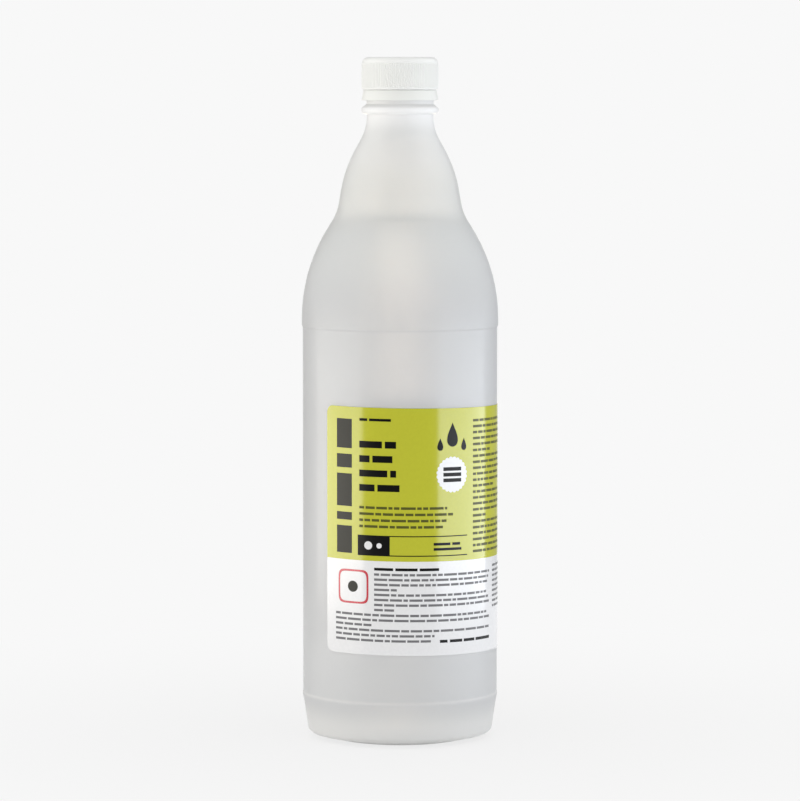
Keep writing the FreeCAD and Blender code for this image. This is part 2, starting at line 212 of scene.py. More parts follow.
# ------------------------------------------------------------------ meshes
@dataclass
class Skin:
    """Vertices and faces gathered for one piece, in millimetres."""

    vertices: list[np.ndarray] = field(default_factory=list)
    faces: list[list[int]] = field(default_factory=list)
    finishes: list[int] = field(default_factory=list)
    count: int = 0

    def add(self, points: np.ndarray, faces: np.ndarray, finish: int | np.ndarray = 0) -> None:
        """Adds points and the faces that name them.

        Args:
            points: the new points (n, 3).
            faces: the numbers of each face's corners among the new points, (faces, corners).
            finish: the material slot, or one for each face.
        """
        self.vertices.append(points)
        self.faces.extend((faces + self.count).tolist())
        self.finishes.extend(np.broadcast_to(finish, len(faces)).tolist())
        self.count += len(points)

    def add_rings(self, rings: np.ndarray, loop: bool = False, finish: int | np.ndarray = 0) -> None:
        """Adds a closed surface made of closed rings of points.

        Each ring is joined to the next by quads. With loop the last ring is joined to the first,
        and otherwise the first and last rings have shrunk to a point, and fans close the surface.

        Args:
            rings: points (rows, columns, 3); the outside is on the right of the way the rows go,
                seen with the angle growing away from the eye.
            loop: True if the rows close too.
            finish: the material slot, or one for each gap between two rings.
        """
        rows, columns = rings.shape[:2]
        here = np.arange(columns)
        beside = (here + 1) % columns
        if loop:
            points, gaps = rings.reshape(-1, 3), np.broadcast_to(finish, rows)
            low = np.arange(rows)[:, None] * columns
            high = (low + columns) % len(points)
        else:
            points = np.concatenate([rings[0, :1], rings[1:-1].reshape(-1, 3), rings[-1, :1]])
            first_gap, *gaps, last_gap = np.broadcast_to(finish, rows - 1)
            low = 1 + np.arange(rows - 3)[:, None] * columns
            high = low + columns
        quads = np.stack([low + here, low + beside, high + beside, high + here], axis=2)
        self.add(points, quads.reshape(-1, 4), np.repeat(gaps, columns))
        if loop:
            return
        first, last = self.count - len(points), self.count - 1
        first_fan = first + np.stack([0 * here, 1 + beside, 1 + here], axis=1)
        last_fan = last + np.stack([0 * here, here - columns, beside - columns], axis=1)
        self.faces.extend(np.concatenate([first_fan, last_fan]).tolist())
        self.finishes.extend(np.repeat([first_gap, last_gap], columns).tolist())

    def piece(self, name: str, materials: Sequence[Material]) -> Object:
        """Makes the gathered surface an object at the origin, in metres.

        Args:
            name: the piece's name.
            materials: its material slots.

        Returns:
            The new object.
        """
        mesh = bpy.data.meshes.new(name)
        mesh.from_pydata((np.concatenate(self.vertices) * MM).tolist(), [], self.faces)
        for material in materials:
            mesh.materials.append(material)
        mesh.polygons.foreach_set("material_index", self.finishes)
        mesh.shade_smooth()
        mesh.set_sharp_from_angle(angle=SMOOTH_BELOW)
        mesh.validate()
        made = bpy.data.objects.new(name, mesh)
        bpy.context.scene.collection.objects.link(made)
        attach(made, BODY)
        log.info("%s: %d vertices, %d faces", name, len(mesh.vertices), len(mesh.polygons))
        return made


# ------------------------------------------------------------------ finishes
def linear(colour: str) -> tuple[float, float, float, float]:
    """An sRGB hex colour such as "#E8E9E6" as linear red, green, blue and alpha."""
    parts = [int(colour[place:place + 2], 16) / 255 for place in (1, 3, 5)]
    return (*(p / 12.92 if p <= 0.04045 else ((p + 0.055) / 1.055) ** 2.4 for p in parts), 1.0)


def add_node(
    tree: NodeTree, kind: str, settings: dict | None = None, links: dict | None = None
) -> Node:
    """Adds a node with its settings and links.

    Args:
        tree: the node tree.
        kind: the node's type.
        settings: attributes by name, and input sockets by name or number.
        links: output sockets by the name or number of the input that they feed.

    Returns:
        The new node.
    """
    node = tree.nodes.new(kind)
    for name, value in (settings or {}).items():
        if isinstance(name, str) and hasattr(node, name):
            setattr(node, name, value)
        else:
            node.inputs[name].default_value = value
    for name, source in (links or {}).items():
        tree.links.new(source, node.inputs[name])
    return node


def new_material(name: str) -> tuple[Material, NodeTree, NodeSocket]:
    """Makes an empty node material.

    Args:
        name: the material's name.

    Returns:
        The material, its tree, and the socket that its surface shader feeds.
    """
    material = bpy.data.materials.new(name)
    material.use_nodes = True
    tree = material.node_tree
    tree.nodes.clear()
    return material, tree, add_node(tree, "ShaderNodeOutputMaterial").inputs["Surface"]


def relief(
    tree: NodeTree, place: NodeSocket, across_mm: float, strength: float, deep_mm: float,
    detail: float = 2.0,
) -> NodeSocket:
    """A surface's fine unevenness: smooth noise in three dimensions, as a bump.

    Args:
        tree: the node tree.
        place: the place on the piece.
        across_mm: how far the noise's lumps lie apart.
        strength: the share of the bump that shows.
        deep_mm: how deep the bump is.
        detail: how many times finer noise is laid over it.

    Returns:
        The socket that gives the surface's normal.
    """
    noise = add_node(
        tree, "ShaderNodeTexNoise", {"Scale": 1 / (across_mm * MM), "Detail": detail}, {"Vector": place}
    )
    bump = add_node(
        tree, "ShaderNodeBump", {"Strength": strength, "Distance": deep_mm * MM},
        {"Height": noise.outputs["Fac"]},
    )
    return bump.outputs[0]


@dataclass(frozen=True)
class WallLook:
    """How the blown wall looks from one height up, and over how much height it gets so."""

    colour: str
    see_through: float
    roughness: float
    from_mm: float = 0.0
    fade_mm: float = 1.0


@dataclass(frozen=True)
class NaturalPolyethylene:
    """Natural high-density polyethylene, blow-moulded: milky, satin, light passes through it.

    The foot is two or three times as thick as the wall and so whiter; its white is also partly painted
    light, which lifts the shade near the floor from the foot and heel. A narrow band at the ledge above
    the heel is painted lighter than the panel: a painted highlight. Beside the liquid light passes on
    into it, and the wall looks darker; above the liquid light turns back at the inner face. The collar
    is thick and hides what is behind it, and the neck's mould is polished, where the cavity is blasted.
    """

    looks: tuple[WallLook, ...] = (
        # the foot: whiter for its thicker moulding, and partly painted light that lifts the shade near
        # the floor
        WallLook("#FCFCF9", 0.28, 0.42),
        WallLook("#E7E8E9", 0.37, 0.43, 11.5, 6.5),
        # a narrow lighter band at the ledge above the heel: a painted highlight
        WallLook("#F1F1F1", 0.32, 0.43, 18.3, 0.5),
        WallLook("#E7E8E9", 0.37, 0.43, 19.4, 0.5),
        WallLook("#E5E6E7", 0.37, 0.43, 138.0, 12.0),
        WallLook("#F4F6F5", 0.39, 0.39, 195.0, 18.0),
        WallLook("#F1F2EF", 0.34, 0.34, 215.0, 6.0),
        WallLook("#FDFEFB", 0.24, 0.31, 240.0, 14.0),
        WallLook("#FDFDFC", 0.03, 0.34, 255.0, 5.0),
    )
    ior: float = 1.54
    roughness_swing: float = 0.03
    inner_roughness: float = 0.12
    sheen: float = 0.12       # the share of the skin that shines more sharply than the rest
    sheen_roughness: float = 0.14
    scatter_mm: float = 0.6
    scatter_weight: float = 0.5
    skin_mm: float = 0.35     # grain of the mould's blasted steel
    skin_share: float = 0.4   # how deep it is beside the streaks
    die_line_mm: float = 1.6  # streaks that the extruder's die leaves down the wall
    die_stretch: float = 0.03  # how fine the streaks are along the wall, beside across it
    bump_mm: float = 0.004
    bump_strength: float = 0.5

    def by_height(self, tree: NodeTree, up: NodeSocket, kind: str, values: Sequence) -> NodeSocket:
        """A value that turns smoothly from each look's to the next one's, from the foot up.

        Args:
            tree: the node tree.
            up: the height, in metres.
            kind: "RGBA" for colours or "FLOAT" for numbers.
            values: one value for each look.

        Returns:
            The socket that gives the value.
        """
        below, above, result = {"RGBA": (6, 7, 2), "FLOAT": (2, 3, 0)}[kind]
        source = None
        for look, value in zip(self.looks[1:], values[1:]):
            share = add_node(
                tree, "ShaderNodeMapRange",
                {"interpolation_type": "SMOOTHSTEP", "From Min": (look.from_mm - look.fade_mm) * MM,
                 "From Max": (look.from_mm + look.fade_mm) * MM}, {"Value": up},
            )
            mix = add_node(
                tree, "ShaderNodeMix", {"data_type": kind, below: values[0], above: value},
                {0: share.outputs[0]},
            )
            if source is not None:
                tree.links.new(source, mix.inputs[below])
            source = mix.outputs[result]
        return source

    def material(self) -> Material:
        """Makes the wall's material, with its colour, clearness and roughness by height.

        The relief is the streaks plus skin_share times the grain, and where a streak stands out the
        wall is a little rougher.

        Returns:
            The material.
        """
        material, tree, surface = new_material("natural_polyethylene_blown")
        place = add_node(tree, "ShaderNodeTexCoord").outputs["Object"]
        grain = add_node(
            tree, "ShaderNodeTexNoise",
            {"Scale": 1 / (self.skin_mm * MM), "Detail": 2.0}, {"Vector": place},
        )
        drawn = add_node(
            tree, "ShaderNodeMapping", {"Scale": (1.0, 1.0, self.die_stretch)}, {"Vector": place}
        )
        streak = add_node(
            tree, "ShaderNodeTexNoise",
            {"Scale": 1 / (self.die_line_mm * MM), "Detail": 1.0}, {"Vector": drawn.outputs[0]},
        )
        height = add_node(
            tree, "ShaderNodeMath", {"operation": "MULTIPLY_ADD", 1: self.skin_share},
            {0: grain.outputs["Fac"], 2: streak.outputs["Fac"]},
        )
        bump = add_node(
            tree, "ShaderNodeBump", {"Strength": self.bump_strength, "Distance": self.bump_mm * MM},
            {"Height": height.outputs[0]},
        )
        up = add_node(tree, "ShaderNodeSeparateXYZ", links={0: place}).outputs["Z"]
        colour = self.by_height(tree, up, "RGBA", [linear(look.colour) for look in self.looks])
        clear = self.by_height(tree, up, "FLOAT", [look.see_through for look in self.looks])
        even = self.by_height(
            tree, up, "FLOAT", [look.roughness - self.roughness_swing for look in self.looks]
        )
        rough = add_node(
            tree, "ShaderNodeMath", {"operation": "MULTIPLY_ADD", 1: 2 * self.roughness_swing},
            {0: streak.outputs["Fac"], 2: even},
        )
        shader = add_node(
            tree, "ShaderNodeBsdfPrincipled",
            {"IOR": self.ior, "Subsurface Weight": self.scatter_weight, "Coat Weight": self.sheen,
             "Coat Roughness": self.sheen_roughness, "Coat IOR": self.ior,
             "Subsurface Radius": (1.0, 1.0, 1.0), "Subsurface Scale": self.scatter_mm * MM},
            {"Base Color": colour, "Normal": bump.outputs[0], "Roughness": rough.outputs[0],
             "Transmission Weight": clear},
        )
        tree.links.new(shader.outputs[0], surface)
        return material

    def inner_face(self) -> Material:
        """Makes the wall's inner face, which air and not a mould shaped: smooth and clear.

        Returns:
            The material.
        """
        material, tree, surface = new_material("natural_polyethylene_inner_face")
        shader = add_node(
            tree, "ShaderNodeBsdfPrincipled",
            {"Base Color": linear(self.looks[-1].colour), "IOR": self.ior,
             "Roughness": self.inner_roughness, "Transmission Weight": 1.0},
        )
        tree.links.new(shader.outputs[0], surface)
        return material


@dataclass(frozen=True)
class ClearVinegar:
    """Spirit vinegar: colourless, a little denser than water, with a mirror-smooth surface."""

    colour: str = "#FBFCFA"
    ior: float = 1.34

    def material(self) -> Material:
        """Makes the liquid's material.

        Returns:
            The material.
        """
        material, tree, surface = new_material("clear_spirit_vinegar")
        shader = add_node(
            tree, "ShaderNodeBsdfPrincipled",
            {"Base Color": linear(self.colour), "IOR": self.ior, "Roughness": 0.0,
             "Transmission Weight": 1.0},
        )
        tree.links.new(shader.outputs[0], surface)
        return material


@dataclass(frozen=True)
class MouldedClosure:
    """White pigmented polyethylene, injection-moulded: semi-gloss, edges a touch translucent.

    The tamper band's white is a touch greyer than the cap's: painted shade, which takes back the extra
    light that the band's upward-leaning face gets from above.
    """

    name: str = "white_polyethylene_moulded"
    colour: str = "#F6F7F4"
    roughness: float = 0.33
    ior: float = 1.5
    scatter_mm: float = 0.8
    scatter_weight: float = 0.3
    grain_mm: float = 0.3
    grain_strength: float = 0.3
    grain_deep_mm: float = 0.01

    def material(self) -> Material:
        """Makes the closure's material.

        Returns:
            The material.
        """
        material, tree, surface = new_material(self.name)
        place = add_node(tree, "ShaderNodeTexCoord").outputs["Object"]
        shader = add_node(
            tree, "ShaderNodeBsdfPrincipled",
            {"Base Color": linear(self.colour), "Roughness": self.roughness, "IOR": self.ior,
             "Subsurface Weight": self.scatter_weight, "Subsurface Radius": (1.0, 1.0, 1.0),
             "Subsurface Scale": self.scatter_mm * MM},
            {"Normal": relief(tree, place, self.grain_mm, self.grain_strength, self.grain_deep_mm)},
        )
        tree.links.new(shader.outputs[0], surface)
        return material


class Ink(Enum):
    """The inks of the label, by name, and the bare film."""

    FILM = "#E6E6E7"
    GREEN = "#BABB34"
    BLACK = "#0C0C0B"
    TEXT_ON_GREEN = "#555622"
    TEXT_ON_WHITE = "#737375"
    SLATE = "#35342E"
    WHITE = "#E4E4E5"
    RED = "#C4414C"

    @property
    def dull(self) -> bool:
        """True for the dark inks, which are printed over the varnish and take its gloss away."""
        return self in (Ink.BLACK, Ink.TEXT_ON_GREEN, Ink.TEXT_ON_WHITE, Ink.SLATE)


@dataclass(frozen=True)
class PrintedFilm:
    """Polypropylene label film with a varnish over its print: smooth, with a broad soft gloss."""

    ink: Ink
    ior: float = 1.5
    roughness: float = 0.16
    level: float = 0.5       # specular level, plain plastic's
    dull_roughness: float = 0.3
    dull_level: float = 0.2
    ripple_mm: float = 9.0   # the film follows the wall's unevenness
    ripple_strength: float = 0.4
    ripple_deep_mm: float = 0.05
    mottle: float = 0.02     # an ink's unevenness, as a share of its brightness
    mottle_mm: float = 1.2

    def material(self) -> Material:
        """Makes the film's material where this ink lies on it.

        Returns:
            The material.
        """
        material, tree, surface = new_material(f"film_{self.ink.name.lower()}")
        place = add_node(tree, "ShaderNodeTexCoord").outputs["Object"]
        normal = relief(
            tree, place, self.ripple_mm, self.ripple_strength, self.ripple_deep_mm, detail=1.0
        )
        speck = add_node(
            tree, "ShaderNodeTexNoise",
            {"Scale": 1 / (self.mottle_mm * MM), "Detail": 3.0}, {"Vector": place},
        )
        shade = add_node(
            tree, "ShaderNodeMapRange",
            {"From Min": NOISE_SPAN[0], "From Max": NOISE_SPAN[1],
             "To Min": 1 - self.mottle, "To Max": 1 + self.mottle},
            {"Value": speck.outputs["Fac"]},
        )
        colour = add_node(
            tree, "ShaderNodeVectorMath", {"operation": "SCALE", 0: linear(self.ink.value)[:3]},
            {"Scale": shade.outputs[0]},
        )
        dull = self.ink.dull
        shader = add_node(
            tree, "ShaderNodeBsdfPrincipled",
            {"Roughness": self.dull_roughness if dull else self.roughness, "IOR": self.ior,
             "Specular IOR Level": self.dull_level if dull else self.level},
            {"Normal": normal, "Base Color": colour.outputs[0]},
        )
        tree.links.new(shader.outputs[0], surface)
        return material


# ------------------------------------------------------------------ bottle
@dataclass
class BlownBottle:
    """The blown bottle: a closed wall, outside and inside, with what the mould leaves on it."""

    body_radius: float = 40.9
    panel_radius: float = 40.5
    panel_low: float = 20.4
    panel_length: float = 150.6
    step_height: float = 0.8     # a short step, out to the straight lip under the shoulder
    step_soft: float = 0.2
    wall: float = 0.9
    ring_inner: float = 26.0
    ring_outer: float = 28.0
    push_up: float = 4.5
    dome_radius: float = 14.0
    dome_round: float = 16.0
    chime_tilt: float = math.radians(13.5)
    chime_round: float = 2.6
    heel_taper: float = math.radians(9.0)
    heel_height: float = 15.8
    heel_inset: float = 0.2
    heel_bead_out: float = 0.16
    heel_bead_low: float = 17.6   # a slow swell up to here, then a short ledge at the top
    heel_bead_high: float = 18.7
    heel_bead_ledge: float = 0.4
    heel_bead_round: float = 3.0
    lip_straight: float = 2.6
    shoulder_lean: float = math.radians(32.8)
    shoulder_line: float = 1.8
    waist_round: float = 21.7
    waist_lean: float = math.radians(9.4)
    waist_line: float = 5.0
    bulge_round: float = 52.2
    flare_lean: float = math.radians(28.8)
    flare_line: float = 5.6
    flare_round: float = 18.8
    neck_radius: float = 13.8
    neck_line: float = 0.8
    neck_bore: float = 11.4
    bore_round: float = 9.4
    bead_radius: float = 16.0
    bead_under: float = 0.8
    bead_tall: float = 4.3
    bead_tip: float = 1.95
    bead_round: float = 1.45
    collar_radius: float = 13.9
    collar_height: float = 2.0
    finish_radius: float = 13.3
    finish_height: float = 15.95
    soft: float = 0.35           # rounding of the small corners that the mould leaves
    seam_dip: float = 0.09       # the wall draws in beside the parting line
    seam_dip_width: float = 3.0
    seam_width: float = 0.28     # half-width of the parting line
    seam_band: float = math.radians(1.1)   # where the columns are closer together
    seam_clear: float = math.radians(1.6)  # and how far the even ones keep from the line
    sway: float = 0.05           # unevenness of the blown wall
    sway_low: float = 12.0       # the heights over which it fades in above the base
    sway_high: float = 20.0      # and out below the neck
    clear: float = 0.04          # the least that the wall lies inside its true outline
    pinch_length: float = 25.0
    pinch_width: float = 0.8
    pinch_out: float = 0.4
    columns: int = 168
    seam_columns: int = 6

    def __post_init__(self) -> None:
        """Works out the corners between the curves, from the heel to the neck."""
        self.heel_top = self.panel_radius - self.heel_inset
        slope, lean = math.tan(self.chime_tilt), math.tan(self.heel_taper)
        self.chime_x = (
            self.heel_top - (self.heel_height + self.ring_outer * slope) * lean
        ) / (1 - slope * lean)
        self.chime_z = (self.chime_x - self.ring_outer) * slope
        self.shoulder_low = self.panel_low + self.panel_length + self.step_height + self.lip_straight
        flare_reach = self.flare_round * math.tan(self.flare_lean / 2)
        bulge_reach = self.bulge_round * math.tan((self.flare_lean - self.waist_lean) / 2)
        waist_reach = self.waist_round * math.tan((self.shoulder_lean - self.waist_lean) / 2)
        flare_span = flare_reach + self.flare_line + bulge_reach
        waist_span = bulge_reach + self.waist_line + waist_reach
        self.bulge_x = self.neck_radius + flare_span * math.sin(self.flare_lean)
        self.waist_x = self.bulge_x + waist_span * math.sin(self.waist_lean)
        shoulder_span = (self.body_radius - self.waist_x) / math.sin(self.shoulder_lean)
        shoulder_reach = shoulder_span - waist_reach - self.shoulder_line
        self.shoulder_round = shoulder_reach / math.tan(self.shoulder_lean / 2)
        self.shoulder_z = self.shoulder_low + shoulder_reach
        self.waist_z = self.shoulder_z + shoulder_span * math.cos(self.shoulder_lean)
        self.bulge_z = self.waist_z + waist_span * math.cos(self.waist_lean)
        self.neck_z = self.bulge_z + flare_span * math.cos(self.flare_lean)
        self.bead_low = self.neck_z + flare_reach + self.neck_line
        self.collar_top = self.bead_low + self.bead_tall + self.collar_height
        self.rim = self.collar_top + self.finish_height

    def outside(self) -> list[Corner]:
        """Gives the outside's corners.

        Returns:
            The corners, from the middle of the base up to the rim.
        """
        edge = self.bead_low + self.bead_under
        bead_x = self.panel_radius + self.heel_bead_out
        bead_top = self.heel_bead_high + self.heel_bead_ledge
        step = self.panel_low + self.panel_length
        return [
            Corner(0, self.push_up),
            Corner(self.dome_radius, self.push_up, self.dome_round),
            Corner(self.ring_inner, 0, self.soft),
            Corner(self.ring_outer, 0, self.soft),
            Corner(self.chime_x, self.chime_z, self.chime_round),
            Corner(self.heel_top, self.heel_height, self.heel_bead_round),
            Corner(bead_x, self.heel_bead_low, self.heel_bead_round),
            Corner(bead_x, self.heel_bead_high, self.soft),
            Corner(self.panel_radius, bead_top, self.soft),
            Corner(self.panel_radius, step, self.step_soft),
            Corner(self.body_radius, step + self.step_height, self.step_soft),
            Corner(self.body_radius, self.shoulder_z, self.shoulder_round),
            Corner(self.waist_x, self.waist_z, self.waist_round),
            Corner(self.bulge_x, self.bulge_z, self.bulge_round),
            Corner(self.neck_radius, self.neck_z, self.flare_round),
            Corner(self.neck_radius, self.bead_low, self.soft),
            Corner(self.bead_radius, edge, self.bead_round),
            Corner(self.bead_radius, edge + self.bead_tip, self.bead_round),
            Corner(self.collar_radius, self.bead_low + self.bead_tall, self.soft),
            Corner(self.collar_radius, self.collar_top, self.soft),
            Corner(self.finish_radius, self.collar_top, self.soft),
            Corner(self.finish_radius, self.rim, self.soft),
        ]

    def inside(self, inset: float) -> list[Corner]:
        """Gives the corners of the outside moved in by inset.

        Args:
            inset: how far inside the outside the surface lies.

        Returns:
            The corners, from the middle of the base up to the rim, the last two on the bore.
        """
        under = self.chime_tilt - math.pi / 2
        chime = moved_in(self.chime_x, self.chime_z, under, -self.heel_taper, inset)
        side = self.panel_radius - inset
        heel_z = chime[1] + (side - chime[0]) / math.tan(self.heel_taper)
        waist = moved_in(self.waist_x, self.waist_z, self.shoulder_lean, self.waist_lean, inset)
        shoulder_z = waist[1] - (side - waist[0]) / math.tan(self.shoulder_lean)
        bulge = moved_in(self.bulge_x, self.bulge_z, self.waist_lean, self.flare_lean, inset)
        bore = self.neck_bore - (inset - self.wall)
        neck_z = bulge[1] + (bulge[0] - bore) / math.tan(self.flare_lean)
        return [
            Corner(0, self.push_up + inset),
            Corner(self.dome_radius, self.push_up + inset, self.dome_round),
            Corner(self.ring_inner, inset, self.soft),
            Corner(self.ring_outer, inset, self.soft),
            Corner(*chime, self.chime_round - inset),
            Corner(side, heel_z, self.chime_round),
            Corner(side, shoulder_z, self.shoulder_round - inset),
            Corner(*waist, self.waist_round + inset),
            Corner(*bulge, self.bulge_round - inset),
            Corner(bore, neck_z, self.bore_round),
            Corner(bore, self.rim, self.soft),
        ]

    def angles(self) -> np.ndarray:
        """Makes the angles of the columns, closer together at the two parting lines.

        Returns:
            The angles (columns,), in radians.
        """
        close = np.linspace(-1, 1, 2 * self.seam_columns + 1) * self.seam_band
        seams = np.concatenate([math.pi / 2 + close, 3 * math.pi / 2 + close])
        plain = even_turn(self.columns)
        near = np.abs(np.abs(np.sin(plain)) - 1) < 1 - math.cos(self.seam_clear)
        return np.sort(np.concatenate([plain[~near], seams]))

    def drawn_in(self, shape: np.ndarray, angles: np.ndarray) -> np.ndarray:
        """How far the outside lies inside its true outline, which it never passes.

        Beside each parting line the wall draws in by a broad bell of the distance from the line,
        and the line itself is a narrow bell as high. The rest is the slow sway of a blown wall: the
        sum of three sines of the angle and the height. Both fade out at the base and the neck.

        Args:
            shape: the outline (rows, 2).
            angles: the angles (columns,), in radians.

        Returns:
            Distances towards the axis (rows, columns).
        """
        radius, height = shape[:, :1], shape[:, 1:]
        away = radius * np.abs(np.arcsin(np.clip(np.cos(angles), -1, 1)))
        dip = np.exp(-((away / self.seam_dip_width) ** 2)) - np.exp(-((away / self.seam_width) ** 2))
        low = np.clip((height - self.chime_z) / self.sway_low, 0, 1)
        high = np.clip((self.bead_low - height) / self.sway_high, 0, 1)
        waves = (
            np.sin(2 * angles + height / 31 + 0.6)
            + np.sin(3 * angles - height / 23 + 2.1)
            + np.sin(height / 14 + 1.3 * np.sin(angles) + 4.0)
        )
        off_axis = radius > 0
        return off_axis * low * high * (self.clear + self.seam_dip * dip + self.sway * (waves + 3) / 6)

    def build(self, finish: Material, inner_face: Material) -> Object:
        """Makes the wall and the pinch-off line, and stands it in for its node.

        Args:
            finish: the wall's material.
            inner_face: the material of the wall's smooth inner face.

        Returns:
            The bottle's object.
        """
        outer = outline(self.outside())
        inner = outline(self.inside(self.wall), turn=math.radians(6), run=8.0)[::-1]
        angles = self.angles()
        inward = np.concatenate([self.drawn_in(outer, angles), np.zeros((len(inner), len(angles)))])
        skin = Skin()
        faces = np.concatenate([np.zeros(len(outer), int), np.ones(len(inner) - 1, int)])
        skin.add_rings(turned(np.concatenate([outer, inner]), angles, inward), finish=faces)
        self.add_pinch_off(skin)
        bottle = skin.piece("blown_bottle", [finish, inner_face])
        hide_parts("bottle")
        return bottle

    def add_pinch_off(self, skin: Skin) -> None:
        """Adds the line that the closing mould pinches across the base.

        It is a round bar along X, half sunk in the base: at each place s along it, from -1 to 1, an
        ellipse, which thins to nothing at both ends as the root of 1 - s^4.

        Args:
            skin: what the bar is added to.
        """
        along = np.linspace(-1, 1, 25)
        round_it = even_turn(12)
        taper = np.sqrt(1 - along**4)[:, None]
        across = self.pinch_width / 2 * taper * np.cos(round_it)
        down = self.push_up - self.pinch_out * taper * np.sin(round_it)
        x = np.repeat(along[:, None] * self.pinch_length / 2, len(round_it), axis=1)
        skin.add_rings(np.stack([x, across, down], axis=2))


# ------------------------------------------------------------------ vinegar
@dataclass
class Vinegar:
    """The liquid, which reaches just into the wall, with a meniscus where it meets it."""

    bottle: BlownBottle
    level: float
    reach: float = 0.06
    meniscus: float = 1.1
    least_run: float = 0.5   # between the wall's last ring and the line where the liquid ends
    columns: int = 120

    def build(self, finish: Material) -> Object:
        """Makes the liquid: the hollow's outline up to the level, and its surface back to the axis.

        Near the wall the surface climbs as meniscus * exp(-distance / meniscus), the usual shape of
        a liquid that wets a wall.

        Args:
            finish: the liquid's material.

        Returns:
            The liquid's object.
        """
        wet = self.bottle.inside(self.bottle.wall - self.reach)
        hollow = outline(wet, turn=math.radians(5), run=6.0)
        top = self.level + self.meniscus
        below = hollow[hollow[:, 1] < top - self.least_run]
        contact = np.interp(top, hollow[:, 1][len(below) - 2:], hollow[:, 0][len(below) - 2:])
        away = np.array([0.0, 0.3, 0.7, 1.2, 1.9, 2.8, 4.2, 7.0, 14.0, contact])
        climb = self.meniscus * np.exp(-away / self.meniscus)
        surface = np.stack([contact - away, self.level + climb], axis=1)
        skin = Skin()
        skin.add_rings(turned(np.concatenate([below, surface]), even_turn(self.columns)))
        liquid = skin.piece("vinegar_fill", [finish])
        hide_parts("vinegar")
        return liquid


